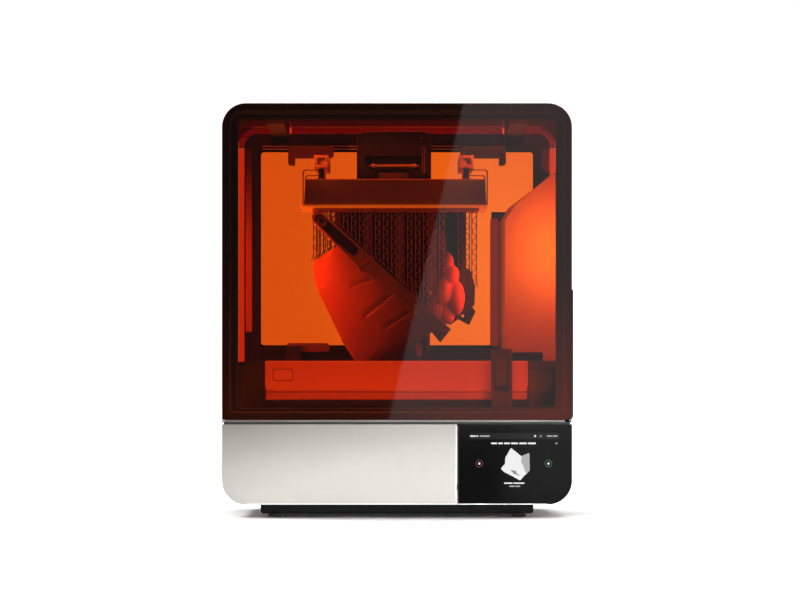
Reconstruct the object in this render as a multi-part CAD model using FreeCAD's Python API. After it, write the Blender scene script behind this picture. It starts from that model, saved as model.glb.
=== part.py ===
import FreeCAD, Part
import math
import os

# Desktop masked-light resin printer with an amber lift-up cover.
# Frame: +X right, +Y to the rear, +Z up. Origin on the table, under the middle of the base. Millimetres.

V = FreeCAD.Vector
X_AXIS = V(1, 0, 0)
Y_AXIS = V(0, 1, 0)
Z_AXIS = V(0, 0, 1)

# --- driving dimensions -------------------------------------------------------------------------
HALF_WIDTH = 310.0            # base and cover
FRONT = -260.0                # outer front face
REAR = 260.0                  # outer rear face
PANEL_T = 4.0                 # front and rear panels, cover pane
SKIN_T = 3.0                  # sheet metal of the base
CORNER_R = 42.5               # bottom corners of the base, top corners of the cover

FOOT_H = 7.0
FOOT_R = 13.5
FOOT_X = 217.0
FOOT_Y = 190.0
PEDESTAL_X = 243.0
PEDESTAL_Y = 222.0
BASE_BOTTOM = 24.0
BASE_TOP = 166.0
DECK_BOTTOM = 163.0
DECK_TOP = 170.0
TRIM_TOP = 173.5
DISPLAY_LEFT = 108.5          # left edge of the touch display glass

COVER_BOTTOM = 174.0
COVER_TOP = 735.0
COVER_T = 4.0
FRAME_T = 4.0                 # dark border frame between the pane and the shell
LIP_LOW = 712.0               # the cover's rear edge reaches down to here behind the rear wall
BORDER_X = 281.0              # inner edge of the cover's dark border
BORDER_LOW = 197.0
BORDER_HIGH = 706.0
HINGE_Y = 245.0               # the cover's axis runs inside the rear wall's top beam
HINGE_Z = 703.0
HINGE_PIN_R = 4.0
PIN_X0, PIN_X1 = 196.0, 248.0
ARM_X0, ARM_X1 = 206.0, 238.0
ARM_LOW = 712.0               # underside of the arms below the cover's top
ARM_GAP = 2.5                 # clearance of each arm in its notch in the beam
RUNNING_GAP = 0.05            # radial clearance of every pin and shaft

WALL_FRONT = 238.0            # rear wall of the chamber
WALL_REAR = 252.0
WALL_X = 292.6
WALL_TOP = 718.6
WINDOW_X = 264.0
WINDOW_LOW = 310.6
WINDOW_HIGH = 687.0
GASKET_W = 3.0

TOWER_X0, TOWER_X1 = -74.0, 62.0
TOWER_Y0, TOWER_Y1 = 110.0, 200.0
TOWER_TOP = 706.0
TOWER_WALL = 8.0
RAIL_X = (-44.0, 32.0)
RAIL_W = 12.0
RAIL_FRONT, RAIL_BACK = 128.0, 140.0
SCREW_X, SCREW_Y = -6.0, 128.0
SCREW_R = 7.0

HEAD_X0, HEAD_X1 = -73.0, 62.0
HEAD_FRONT = -110.0
HEAD_LOW, HEAD_HIGH = 612.0, 697.0
BAIL_Y, BAIL_Z = -103.0, 633.4   # pivot of the platform lock bail
BAIL_REACH = 15.0

PLATFORM_X0, PLATFORM_X1 = -167.0, 160.5
PLATFORM_Y0, PLATFORM_Y1 = -180.0, 15.0
PLATFORM_LOW, PLATFORM_HIGH = 559.0, 606.0
SHEET_T = 3.0
SHEET_LOW = PLATFORM_LOW - SHEET_T
HANDLE_X = (-136.0, 125.0)
HANDLE_Z = 616.0              # pivot height of the release handles
WIRE_R = 1.15
WIRE_Z = 623.0                # height of the release wires' level run

TANK_X0, TANK_X1 = -235.0, 233.6
TANK_Y0, TANK_Y1 = -215.0, 60.0
TANK_LOW, TANK_HIGH = 209.0, 279.0
TANK_STEP = 232.0
FILM_T = 1.0
CARRIER_X0, CARRIER_X1 = -269.0, 284.0

MIXER_RAIL_X0, MIXER_RAIL_X1 = -206.0, 272.0
MIXER_RAIL_Y0, MIXER_RAIL_Y1 = 70.0, 94.0
MIXER_RAIL_TOP = 298.0
DRIVE_X0, DRIVE_X1 = -206.0, -127.0
DRIVE_TOP = 315.0

BAY_X0, BAY_X1 = 202.8, 300.0
BAY_Y0 = 106.0
BAY_DRAFT = 9.2               # how far the left face leans out towards the rear
BAY_SHOULDER = 560.0
BAY_TOP = 641.0
CARTRIDGE_W = 39.0
CARTRIDGE_X = (206.0, 248.0)
CARTRIDGE_LOW, CARTRIDGE_HIGH = 196.5, 500.0

FAN_X = (60.0, 160.0)
FAN_Z = 95.0
FAN_SIZE = 80.0
FAN_BORE = 38.0

LATCH_X0, LATCH_X1 = 167.6, 205.0
LATCH_Y0, LATCH_Y1 = -231.0, -216.0
LATCH_TOP = 300.0


# --- helpers ------------------------------------------------------------------------------------
def block(x0, x1, y0, y1, z0, z1):
    return Part.makeBox(x1 - x0, y1 - y0, z1 - z0, V(x0, y0, z0))


def rod(start, end, radius):
    direction = end - start
    return Part.makeCylinder(radius, direction.Length, start, direction)


def prism(points, direction):
    """A closed polygon, pushed along direction."""
    return Part.Face(Part.makePolygon(points + points[:1])).extrude(direction)


def side_prism(profile, x0, x1):
    """A (y, z) polygon, pushed from x0 to x1."""
    return prism([V(x0, y, z) for y, z in profile], V(x1 - x0, 0, 0))


def front_prism(profile, y0, y1):
    """An (x, z) polygon, pushed from y0 to y1."""
    return prism([V(x, y0, z) for x, z in profile], V(0, y1 - y0, 0))


def join(shapes):
    return shapes[0].multiFuse(shapes[1:]).removeSplitter()


def cut(shape, tools):
    return shape.cut(Part.makeCompound(tools))


def group(shapes):
    return Part.makeCompound(shapes)


def mirrored(shape):
    return shape.mirror(V(0, 0, 0), X_AXIS)


def round_corner(shape, x, z, radius):
    """Rounds the edge along Y that passes through (x, z)."""
    edges = [e for e in shape.Edges if all(abs(v.X - x) < 0.01 and abs(v.Z - z) < 0.01 for v in e.Vertexes)]
    return shape.makeFillet(radius, edges)


def plate(x0, x1, z0, z1, y0, y1, low_left=0, low_right=0, top_right=0, top_left=0):
    """An upright plate with its own radius at each corner."""
    shape = block(x0, x1, y0, y1, z0, z1)
    corners = ((x0, z0, low_left), (x1, z0, low_right), (x1, z1, top_right), (x0, z1, top_left))
    for x, z, radius in corners:
        if radius:
            shape = round_corner(shape, x, z, radius)
    return shape


def rounded_plate(x0, x1, z0, z1, y0, y1, radius):
    return plate(x0, x1, z0, z1, y0, y1, radius, radius, radius, radius)


def edges_on(shape, axis, value):
    """Edges whose two ends lie in the plane axis = value."""
    return [e for e in shape.Edges if all(abs(getattr(v, axis) - value) < 0.01 for v in e.Vertexes)
            and abs(getattr(e.CenterOfMass, axis.lower()) - value) < 0.01]


def soften(shape, size, axis, value):
    return shape.makeChamfer(size, edges_on(shape, axis, value))


# --- base ---------------------------------------------------------------------------------------
def rubber_feet():
    feet = []
    for x in (-FOOT_X, FOOT_X):
        for y in (-FOOT_Y, FOOT_Y):
            foot = rod(V(x, y, 0), V(x, y, FOOT_H), FOOT_R)
            feet.append(soften(foot, 1.5, "Z", 0))
    return group(feet)


def base_pedestal():
    slab = block(-PEDESTAL_X, PEDESTAL_X, -PEDESTAL_Y, PEDESTAL_Y, FOOT_H, BASE_BOTTOM)
    return soften(slab, 3.0, "Z", FOOT_H)


def base_profile(y0, y1, inset, top):
    radius = CORNER_R - inset
    return plate(-HALF_WIDTH + inset, HALF_WIDTH - inset, BASE_BOTTOM + inset, top, y0, y1, radius, radius)


def base_shell():
    y0, y1 = FRONT + PANEL_T, REAR - PANEL_T
    shell = base_profile(y0, y1, 0, BASE_TOP).cut(base_profile(y0, y1, SKIN_T, BASE_TOP + 5))
    slots = []
    for i in range(14):
        y = 40 + 12.0 * i
        slots.append(block(-HALF_WIDTH - 1, HALF_WIDTH + 1, y, y + 4, 78, 132))
    return cut(shell, slots)


def front_panel():
    panel = plate(-HALF_WIDTH, DISPLAY_LEFT - 2.5, BASE_BOTTOM, BASE_TOP, FRONT, FRONT + PANEL_T, CORNER_R)
    return soften(panel, 0.8, "Y", FRONT)


def display_glass():
    glass = plate(DISPLAY_LEFT, HALF_WIDTH, BASE_BOTTOM, BASE_TOP, FRONT, FRONT + 3, 0, CORNER_R)
    return soften(glass, 0.6, "Y", FRONT)


DISPLAY_X0, DISPLAY_X1 = 122.0, 292.0
DISPLAY_Z0, DISPLAY_Z1 = 45.0, 160.0


def display_module():
    panel = block(DISPLAY_X0, DISPLAY_X1, FRONT + 3, FRONT + 8, DISPLAY_Z0, DISPLAY_Z1)
    ribbon = block(190, 220, FRONT + 8, FRONT + 9, 60, 90)
    return join([panel, ribbon])


def front_subframe():
    y0 = FRONT + PANEL_T
    frame = base_profile(y0, y0 + SKIN_T, SKIN_T, DECK_BOTTOM)
    window = block(DISPLAY_X0 - 2, DISPLAY_X1 + 2, y0 - 1, y0 + 5, DISPLAY_Z0 - 2, DECK_BOTTOM - 1)
    return frame.cut(window)


def base_deck():
    inner = HALF_WIDTH - SKIN_T
    deck = block(-inner, inner, FRONT + PANEL_T, REAR - PANEL_T, DECK_BOTTOM, DECK_TOP)
    engine_hole = block(-201, 201, -201, 41, DECK_BOTTOM - 1, DECK_TOP + 1)
    screw_hole = rod(V(SCREW_X, SCREW_Y, DECK_BOTTOM - 1), V(SCREW_X, SCREW_Y, DECK_TOP + 1), 14)
    return cut(deck, [engine_hole, screw_hole])


def trim_strip():
    strip = block(-HALF_WIDTH, 297, FRONT, FRONT + 8, DECK_TOP, TRIM_TOP)
    return soften(strip, 0.5, "Y", FRONT)


INLET = (-270.0, -222.0, 50.0, 78.0)      # x0, x1, z0, z1 of the mains inlet
PORTS = (-190.0, -146.0, 50.0, 74.0)      # the data ports
REAR_SCREWS = [(x, z) for x in (-296, -100, 110, 296) for z in (80, 156)]


def rear_panel():
    y0, y1 = REAR - PANEL_T, REAR
    panel = plate(-HALF_WIDTH, HALF_WIDTH, BASE_BOTTOM, BASE_TOP, y0, y1, CORNER_R, CORNER_R)
    tools = [block(x0, x1, y0 - 1, y1 + 1, z0, z1) for x0, x1, z0, z1 in (INLET, PORTS)]
    tools += [rod(V(x, y0 - 1, FAN_Z), V(x, y1 + 1, FAN_Z), FAN_BORE) for x in FAN_X]
    tools += [rod(V(x, y0 - 1, z), V(x, y1 + 1, z), 3) for x, z in REAR_SCREWS]
    return cut(panel, tools)


def panel_screws():
    """Slotted screws, flush in the rear panel and standing on the tower's front edges."""
    screws = []
    for x, z in REAR_SCREWS:
        screw = rod(V(x, REAR - PANEL_T, z), V(x, REAR, z), 3)
        slot = block(x - 2, x + 2, REAR - 1, REAR + 1, z - 0.5, z + 0.5)
        screws.append(screw.cut(slot))
    for x in (TOWER_X0 + TOWER_WALL / 2, TOWER_X1 - TOWER_WALL / 2):
        for z in (240, 450, 660, 690):
            screws.append(rod(V(x, TOWER_Y0 - 1.5, z), V(x, TOWER_Y0, z), 3))
    return group(screws)


def mains_inlet():
    x0, x1, z0, z1 = INLET
    body = block(x0, x1, REAR - 28, REAR, z0, z1)
    middle = (z0 + z1) / 2
    socket = rounded_plate(x0 + 4, x0 + 30, middle - 9, middle + 9, REAR - 20, REAR + 1, 4)
    pocket = block(x1 - 14, x1 - 3, REAR - 16, REAR + 1, middle - 9.5, middle + 9.5)
    pins = []
    for dx, dz in ((-7, -2), (0, 3), (7, -2)):
        x = x0 + 17 + dx
        pins.append(block(x - 1, x + 1, REAR - 20.5, REAR - 5, middle + dz - 2, middle + dz + 2))
    pivot = rod(V(x1 - 14.5, REAR - 5, middle), V(x1 - 2.5, REAR - 5, middle), 1.5)
    return join([cut(body, [socket, pocket]), pivot] + pins)


def power_rocker():
    x0, x1, z0, z1 = INLET
    middle = (z0 + z1) / 2
    y = REAR - 5
    profile = [(y - 4, middle - 7), (y + 1.8, middle - 8), (y + 3, middle), (y + 4.6, middle + 8), (y - 4, middle + 7)]
    rocker = side_prism(profile, x1 - 13.5, x1 - 3.5)
    bore = rod(V(x1 - 15, y, middle), V(x1 - 2, y, middle), 1.5 + RUNNING_GAP)
    return rocker.cut(bore)


def data_ports():
    x0, x1, z0, z1 = PORTS
    body = block(x0, x1, REAR - 24, REAR, z0, z1)
    network = block(x0 + 4, x0 + 20, REAR - 18, REAR + 1, z0 + 5, z0 + 18)
    usb = block(x0 + 25, x0 + 39, REAR - 18, REAR + 1, z0 + 8, z0 + 15)
    tongue = block(x0 + 26, x0 + 38, REAR - 18.5, REAR - 6, z0 + 8.8, z0 + 10.6)
    return join([cut(body, [network, usb]), tongue])


def rear_sockets():
    return group([mains_inlet(), data_ports()])


def fan_guard(x):
    y0, y1 = REAR - PANEL_T, REAR - 2
    rings = []
    for radius in (10, 19, 28, 37):
        ring = rod(V(x, y0, FAN_Z), V(x, y1, FAN_Z), radius)
        rings.append(ring.cut(rod(V(x, y0, FAN_Z), V(x, y1, FAN_Z), radius - 1.6)))
    spokes = []
    for angle in (45, 135):
        spoke = block(x - FAN_BORE, x + FAN_BORE, y0, y1, FAN_Z - 0.9, FAN_Z + 0.9)
        spoke.rotate(V(x, y0, FAN_Z), Y_AXIS, angle)
        spokes.append(spoke)
    rim = rod(V(x, y0, FAN_Z), V(x, y1, FAN_Z), FAN_BORE)
    return join(rings + spokes).common(rim)


def fan_frames():
    frames = []
    half = FAN_SIZE / 2
    y0, y1 = REAR - PANEL_T - 25, REAR - PANEL_T
    for x in FAN_X:
        frame = rounded_plate(x - half, x + half, FAN_Z - half, FAN_Z + half, y0, y1, 5)
        frame = frame.cut(rod(V(x, y0 - 1, FAN_Z), V(x, y1 + 1, FAN_Z), FAN_BORE))
        hub = rod(V(x, y0, FAN_Z), V(x, y0 + 3, FAN_Z), 15)
        spindle = rod(V(x, y0, FAN_Z), V(x, y1 - 5, FAN_Z), 2)
        struts = [block(x - half + 0.5, x + half - 0.5, y0, y0 + 3, FAN_Z - 2, FAN_Z + 2),
                  block(x - 2, x + 2, y0, y0 + 3, FAN_Z - half + 0.5, FAN_Z + half - 0.5)]
        frames.append(join([frame, hub, spindle] + struts))
        frames.append(fan_guard(x))
    return group(frames)


def fan_rotor(x):
    y0, y1 = REAR - PANEL_T - 20, REAR - PANEL_T - 4
    centre = V(x, 0, FAN_Z)
    hub = rod(V(x, y0, FAN_Z), V(x, y1, FAN_Z), 14)
    blades = []
    for i in range(7):
        profile = [V(x - 3, y0 + 1, FAN_Z + 12), V(x + 0.5, y0 + 1, FAN_Z + 12),
                   V(x + 13, y1 - 1, FAN_Z + 12), V(x + 9.5, y1 - 1, FAN_Z + 12)]
        blade = prism(profile, V(0, 0, 21))
        blade.rotate(centre, Y_AXIS, 360.0 * i / 7)
        blades.append(blade)
    bore = rod(V(x, y0 - 1, FAN_Z), V(x, y1 + 1, FAN_Z), 2 + RUNNING_GAP)
    return join([hub] + blades).cut(bore)


# --- electronics and light engine ---------------------------------------------------------------
def light_engine_housing():
    outer = block(-200, 200, -200, 40, 60, 204)
    return outer.cut(block(-197, 197, -197, 37, 63, 205))


def light_engine_window():
    return block(-197, 197, -197, 37, 198, 204)


def led_array():
    """The lamp board inside the light engine and the finned heat sink under its floor."""
    board = block(-185, 185, -185, 25, 63, 66)
    lamps = []
    for i in range(8):
        for j in range(5):
            x = -157.5 + 45 * i
            y = -168 + 44 * j
            lamps.append(rod(V(x, y, 66), V(x, y, 70), 5))
    spreader = block(-150, 150, -170, 10, 54, 60)
    fins = [block(-150 + 18.6 * i, -147 + 18.6 * i, -170, 10, 30, 55) for i in range(17)]
    return group([join([board] + lamps), join([spreader] + fins)])


def main_board():
    board = block(212, 298, -180, 60, 60, 62)
    chips = [block(225, 255, -140, -110, 62, 66), block(262, 290, -80, -50, 62, 65),
             block(222, 240, -60, 10, 62, 72), block(250, 290, 10, 48, 62, 76)]
    return join([board] + chips)


def power_supply():
    box = block(-298, -212, -100, 120, 62, 110)
    slots = [block(-290, -220, -88 + 16 * i, -80 + 16 * i, 107, 111) for i in range(12)]
    return cut(box, slots)


def z_motor():
    half = 28.5
    can = block(SCREW_X - half, SCREW_X + half, SCREW_Y - half, SCREW_Y + half, 100, 158)
    flange = block(SCREW_X - half, SCREW_X + half, SCREW_Y - half, SCREW_Y + half, 156, DECK_BOTTOM)
    well = rod(V(SCREW_X, SCREW_Y, 157), V(SCREW_X, SCREW_Y, 165), 14)
    shaft = rod(V(SCREW_X, SCREW_Y, 156), V(SCREW_X, SCREW_Y, 166), 4)
    return join([join([can, flange]).cut(well), shaft])


# --- lift tower ---------------------------------------------------------------------------------
def tower_housing():
    outer = block(TOWER_X0, TOWER_X1, TOWER_Y0, TOWER_Y1, DECK_TOP, TOWER_TOP)
    x0, x1 = TOWER_X0 + TOWER_WALL, TOWER_X1 - TOWER_WALL
    front = block(x0, x1, TOWER_Y0 - 1, RAIL_BACK, DECK_TOP - 1, TOWER_TOP - 5)
    back = block(x0, x1, RAIL_BACK + 8, TOWER_Y1 - 6, DECK_TOP - 1, TOWER_TOP - 5)
    return soften(cut(outer, [front, back]), 4.0, "Z", TOWER_TOP)


def linear_rails():
    rails = []
    for x in RAIL_X:
        rail = block(x - RAIL_W / 2, x + RAIL_W / 2, RAIL_FRONT, RAIL_BACK, 182, 698)
        rails.append(rail)
    return group(rails)


def screw_bearings():
    blocks = []
    for z0, z1 in ((173, 188), (TOWER_TOP - 17, TOWER_TOP - 5)):
        shape = block(SCREW_X - 18, SCREW_X + 18, SCREW_Y - 12, RAIL_BACK, z0, z1)
        bore = rod(V(SCREW_X, SCREW_Y, z0 - 1), V(SCREW_X, SCREW_Y, z1 + 1), SCREW_R + RUNNING_GAP)
        blocks.append(shape.cut(bore))
    return group(blocks)


def lead_screw():
    shaft = rod(V(SCREW_X, SCREW_Y, 168), V(SCREW_X, SCREW_Y, TOWER_TOP - 6), SCREW_R)
    coupling = rod(V(SCREW_X, SCREW_Y, 159), V(SCREW_X, SCREW_Y, 172), 12)
    bore = rod(V(SCREW_X, SCREW_Y, 158), V(SCREW_X, SCREW_Y, 167), 4 + RUNNING_GAP)
    return join([shaft, coupling]).cut(bore)


# --- carriage -----------------------------------------------------------------------------------
def carriage_head():
    head = plate(HEAD_X0, HEAD_X1, HEAD_LOW, HEAD_HIGH, HEAD_FRONT, 20, 0, 0, 16, 22)
    head = soften(head, 1.5, "Y", HEAD_FRONT)
    arm = block(-60, 48, 10, 104, 657, HEAD_HIGH)
    back = block(-60, 48, 100, 116, 600, HEAD_HIGH)
    centre = (HEAD_X0 + HEAD_X1) / 2
    fold = block(centre - 53, centre + 53, HEAD_FRONT - 1, HEAD_FRONT + 15, 637, 652)
    pockets = [block(x - 6, x + 6, HEAD_FRONT - 1, HEAD_FRONT + 16, 627, 640) for x in (centre - 40, centre + 40)]
    tongue_slot = block(-38, 24, HEAD_FRONT - 1, 10, HEAD_LOW - 1, 626)
    bore = rod(V(centre - 50, BAIL_Y, BAIL_Z), V(centre + 50, BAIL_Y, BAIL_Z), 1.6 + RUNNING_GAP)
    return cut(join([head, arm, back]), [fold, tongue_slot, bore] + pockets)


def platform_lock_bail():
    centre = (HEAD_X0 + HEAD_X1) / 2
    bar_y = BAIL_Y - BAIL_REACH
    bar = rod(V(centre - 42.3, bar_y, BAIL_Z), V(centre + 42.3, bar_y, BAIL_Z), 2.3)
    parts = [bar]
    for x in (centre - 40, centre + 40):
        parts.append(rod(V(x, bar_y, BAIL_Z), V(x, BAIL_Y + 2.2, BAIL_Z), 2.0))
        parts.append(rod(V(x - 9, BAIL_Y, BAIL_Z), V(x + 9, BAIL_Y, BAIL_Z), 1.6))
    return join(parts)


def carriage_bearings():
    blocks = []
    for x in RAIL_X:
        for z0 in (602, 654):
            shape = block(x - 14, x + 14, 116, 136, z0, z0 + 34)
            slot = block(x - RAIL_W / 2 - 0.3, x + RAIL_W / 2 + 0.3, RAIL_FRONT - 0.3, 137, z0 - 1, z0 + 35)
            blocks.append(shape.cut(slot))
    return group(blocks)


def screw_nut():
    nut = block(SCREW_X - 16, SCREW_X + 16, 116, 138, 640, 672)
    bore = rod(V(SCREW_X, SCREW_Y, 639), V(SCREW_X, SCREW_Y, 673), SCREW_R + RUNNING_GAP)
    return nut.cut(bore)


# --- build platform -----------------------------------------------------------------------------
def platform_body():
    lean = 2.2
    outline = [(PLATFORM_X0, PLATFORM_LOW), (PLATFORM_X1, PLATFORM_LOW),
               (PLATFORM_X1 - lean, PLATFORM_HIGH), (PLATFORM_X0 + lean, PLATFORM_HIGH)]
    body = front_prism(outline, PLATFORM_Y0, PLATFORM_Y1)
    body = soften(body, 2.0, "Z", PLATFORM_HIGH)
    hollow = block(PLATFORM_X0 + 8, PLATFORM_X1 - 8, PLATFORM_Y0 + 6, PLATFORM_Y1 - 6,
                   PLATFORM_LOW - 1, PLATFORM_HIGH - 6)
    tongue = block(-36, 22, -104, 0, PLATFORM_HIGH - 1, 624)
    return join([body.cut(hollow), soften(tongue, 2.0, "Z", 624)])


def platform_sheet():
    sheet = block(PLATFORM_X0 - 6.6, PLATFORM_X1 + 2.5, PLATFORM_Y0 - 4, PLATFORM_Y1 + 4, SHEET_LOW, PLATFORM_LOW)
    upright = [e for e in sheet.Edges if abs(e.tangentAt(e.FirstParameter).z) > 0.99]
    return sheet.makeFillet(8.0, upright)


def handle_posts():
    posts = []
    for x in HANDLE_X:
        for y in (-160.0, -5.0):
            foot = block(x - 7, x + 7, y - 6, y + 6, PLATFORM_HIGH, 609)
            ear = block(x - 5, x + 5, y - 4, y + 4, PLATFORM_HIGH, WIRE_Z + 1.5)
            pin = rod(V(x, y, HANDLE_Z), V(x, y + (10 if y < -80 else -10), HANDLE_Z), 2)
            posts.append(join([foot, ear, pin]))
    return group(posts)


def release_handle(x):
    grip = rounded_plate(x - 13, x + 13, 627, 649, -172, 7, 1.2)
    legs = [block(x - 5, x + 5, y0, y1, 611, 630) for y0, y1 in ((-155.5, -147), (-18, -9.5))]
    bores = [rod(V(x, y0, HANDLE_Z), V(x, y1, HANDLE_Z), 2 + RUNNING_GAP) for y0, y1 in ((-156, -146), (-19, -9))]
    slot = rounded_plate(x - 8, x + 8, 632, 644, -200, -166, 2)
    return cut(join([grip] + legs), bores + [slot])


def bent_wire(points, bend):
    """A round wire along straight runs, with an arc of the same radius at each corner between them."""
    edges = []
    here = points[0]
    for before, corner, after in zip(points, points[1:], points[2:]):
        back = (before - corner).normalize()
        ahead = (after - corner).normalize()
        half = back.getAngle(ahead) / 2
        reach = bend / math.tan(half)
        start = corner + back * reach
        end = corner + ahead * reach
        middle = corner + (back + ahead).normalize() * (bend / math.sin(half) - bend)
        edges.append(Part.LineSegment(here, start).toShape())
        edges.append(Part.Arc(start, middle, end).toShape())
        here = end
    edges.append(Part.LineSegment(here, points[-1]).toShape())
    path = Part.Wire(edges)
    tangent = (points[1] - points[0]).normalize()
    section = Part.Wire(Part.makeCircle(WIRE_R, points[0], tangent))
    return path.makePipeShell([section], True, True)


def release_wires():
    wires = []
    for x, edge, side in ((HANDLE_X[0], PLATFORM_X0, -1), (HANDLE_X[1], PLATFORM_X1, 1)):
        for y in (-162.0, -3.0):
            start = V(x + 5 * side, y, WIRE_Z)
            corner = V(edge + 1.8 * side, y, WIRE_Z)
            low = V(edge + 1.8 * side, y, PLATFORM_LOW)
            wires.append(bent_wire([start, corner, low], 5.0))
    return group(wires)


# --- the print that hangs from the platform ------------------------------------------------------
def printed_scoop():
    outline = [(-152, 458), (-150, 442), (-133, 386), (-98, 319), (-71, 282), (-50, 266), (-7, 282),
               (62, 326), (85, 309), (95, 338), (-47, 471), (-110, 530), (-152, 540)]
    return front_prism(outline, -125, -45)


def printed_bracket():
    outline = [(84, 472), (122, 470), (130, 380), (146, 372), (134, 348), (112, 360), (96, 376), (84, 400)]
    return front_prism(outline, -110, -60)


def support_lattice():
    columns = []
    for i in range(18):
        x = -150 + 17.4 * i
        for y in (-135.0, -35.0):
            low = 470 - max(0, 150 - abs(x - 20)) * 0.7
            columns.append(block(x, x + 2, y, y + 2, low, SHEET_LOW))
    raft = block(-152, 150, -137, -30, SHEET_LOW - 3, SHEET_LOW)
    return join([raft] + columns)


def hanging_print():
    return group([printed_scoop(), printed_bracket(), support_lattice()])


# --- resin tank ---------------------------------------------------------------------------------
def tank_carrier():
    frame = block(CARRIER_X0, CARRIER_X1, TANK_Y0, 64, DECK_TOP, TANK_LOW)
    light_hole = block(-205, 205, -205, 45, DECK_TOP - 1, TANK_LOW + 1)
    left = block(CARRIER_X0, TANK_X0 - 1, TANK_Y0, TANK_Y1, TANK_LOW - 1, TANK_HIGH)
    right = block(TANK_X1 + 1, CARRIER_X1, TANK_Y0, TANK_Y1, TANK_LOW - 1, TANK_HIGH)
    return join([frame.cut(light_hole), left, right])


def tank_body():
    inset = 1.5
    upper = block(TANK_X0, TANK_X1, TANK_Y0, TANK_Y1, TANK_STEP, TANK_HIGH)
    lower = block(TANK_X0 + inset, TANK_X1 - inset, TANK_Y0 + inset, TANK_Y1 - inset,
                  TANK_LOW + FILM_T, TANK_STEP)
    hollow = block(-225, 225, -205, 45, TANK_LOW, TANK_HIGH + 1)
    label = rounded_plate(-223, -187, 249, 270, TANK_Y0 - 1, TANK_Y0 + 0.6, 3)
    label_field = rounded_plate(-222, -188, 250, 269, TANK_Y0 - 2, TANK_Y0 + 2, 2)
    return cut(join([upper, lower]), [hollow, label.cut(label_field)])


def tank_film():
    return block(-231, 231, -211, 51, TANK_LOW, TANK_LOW + FILM_T)


def mixer_rail():
    beam = block(MIXER_RAIL_X0, MIXER_RAIL_X1, MIXER_RAIL_Y0, MIXER_RAIL_Y1, 262, MIXER_RAIL_TOP)
    web = block(MIXER_RAIL_X0 + 6, MIXER_RAIL_X1 - 6, MIXER_RAIL_Y0 + 8, MIXER_RAIL_Y1 - 8, DECK_TOP, 263)
    return join([beam, web])


def mixer_drive():
    cap = rounded_plate(DRIVE_X0, DRIVE_X1, MIXER_RAIL_TOP + 0.5, DRIVE_TOP, 66, 102, 5)
    skirt = block(DRIVE_X0 + 6, DRIVE_X1 - 6, MIXER_RAIL_Y1 + 0.6, 102, 270, MIXER_RAIL_TOP + 6)
    return join([cap, skirt])


def mixer_arm():
    blade = block(-221, -213, -196, 36, TANK_LOW + FILM_T + 1.5, 224)
    spine = block(-221, -203, -196, 36, 222, 230)
    riser = block(-206, -180, 36, 43, 224, 292)
    foot = block(-221, -180, 28, 43, 222, 230)
    bridge = block(-206, -180, 36, 66, 283, 292)
    hook = block(-206, -180, 60.5, 66, 283, 310)
    return join([blade, spine, riser, foot, bridge, hook])


def tank_latch_post():
    post = rounded_plate(LATCH_X0, LATCH_X1, DECK_TOP, LATCH_TOP, LATCH_Y0, LATCH_Y1, 2)
    pocket = plate(175.6, 197.4, 227, 294.5, LATCH_Y0 - 1, LATCH_Y1 - 3, 0, 0, 8, 8)
    pin = rod(V(175, -226, 240), V(198, -226, 240), 2)
    return join([post.cut(pocket), pin])


def tank_latch_lever():
    lever = plate(176.2, 196.8, 236, 293.6, LATCH_Y0, LATCH_Y1 - 6, 0, 0, 7.5, 7.5)
    bore = rod(V(175, -226, 240), V(198, -226, 240), 2 + RUNNING_GAP)
    return lever.cut(bore)


# --- chamber rear wall and cartridge bay ---------------------------------------------------------
BAY_OPENING = (204.0, 289.0, CARTRIDGE_LOW - 0.5, 504.0)
NOTCH_X, NOTCH_Z = 184.0, 566.0


def window_outline(inset, y0, y1):
    """The window's shape: a rectangle with its lower right corner taken up by the cartridge bay."""
    tall = rounded_plate(-WINDOW_X + inset, NOTCH_X - inset, WINDOW_LOW + inset, WINDOW_HIGH - inset, y0, y1, 6)
    wide = rounded_plate(-WINDOW_X + inset, WINDOW_X - inset, NOTCH_Z + inset, WINDOW_HIGH - inset, y0, y1, 6)
    return join([tall, wide])


def rear_wall_frame():
    wall = plate(-WALL_X, WALL_X, DECK_TOP, WALL_TOP, WALL_FRONT, WALL_REAR, 0, 0, 25, 25)
    y0, y1 = WALL_FRONT - 1, WALL_REAR + 1
    x0, x1, z0, z1 = BAY_OPENING
    doorway = block(x0, x1, y0, y1, z0, z1)
    notch = block(ARM_X0 - ARM_GAP, ARM_X1 + ARM_GAP, y0, y1, 692.5, WALL_TOP + 1)
    pin_hole = rod(V(PIN_X0, HINGE_Y, HINGE_Z), V(PIN_X1, HINGE_Y, HINGE_Z), HINGE_PIN_R)
    hinge_cuts = [notch, mirrored(notch), pin_hole, mirrored(pin_hole)]
    return cut(wall, [window_outline(0, y0, y1), doorway] + hinge_cuts)


def rear_window_gasket():
    y0, y1 = WALL_FRONT + 4, WALL_FRONT + 10
    return window_outline(0, y0, y1).cut(window_outline(GASKET_W, y0 - 1, y1 + 1))


def rear_window():
    """The window pane, and the amber strips that close the gap between the rear wall and the cover's sides."""
    y0, y1 = WALL_FRONT + 5, WALL_FRONT + 8
    strip = block(WALL_X, HALF_WIDTH - COVER_T - 2, y0, y1, DECK_TOP + 2, 690)
    return group([window_outline(GASKET_W, y0, y1), strip, mirrored(strip)])


def bay_section(inset, y):
    """The bay's outline at one depth: the left face leans out towards the rear."""
    lean = BAY_DRAFT * (y - BAY_Y0) / (WALL_FRONT - BAY_Y0)
    left = BAY_X0 - lean + inset
    right = BAY_X1 - inset
    floor = DECK_TOP
    slope_x = 20.0
    points = [V(left, y, floor), V(right, y, floor), V(right, y, BAY_TOP - inset),
              V(left + slope_x, y, BAY_SHOULDER + slope_x * 0.82 - inset), V(left, y, BAY_SHOULDER - 14)]
    return Part.makePolygon(points + points[:1])


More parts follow.
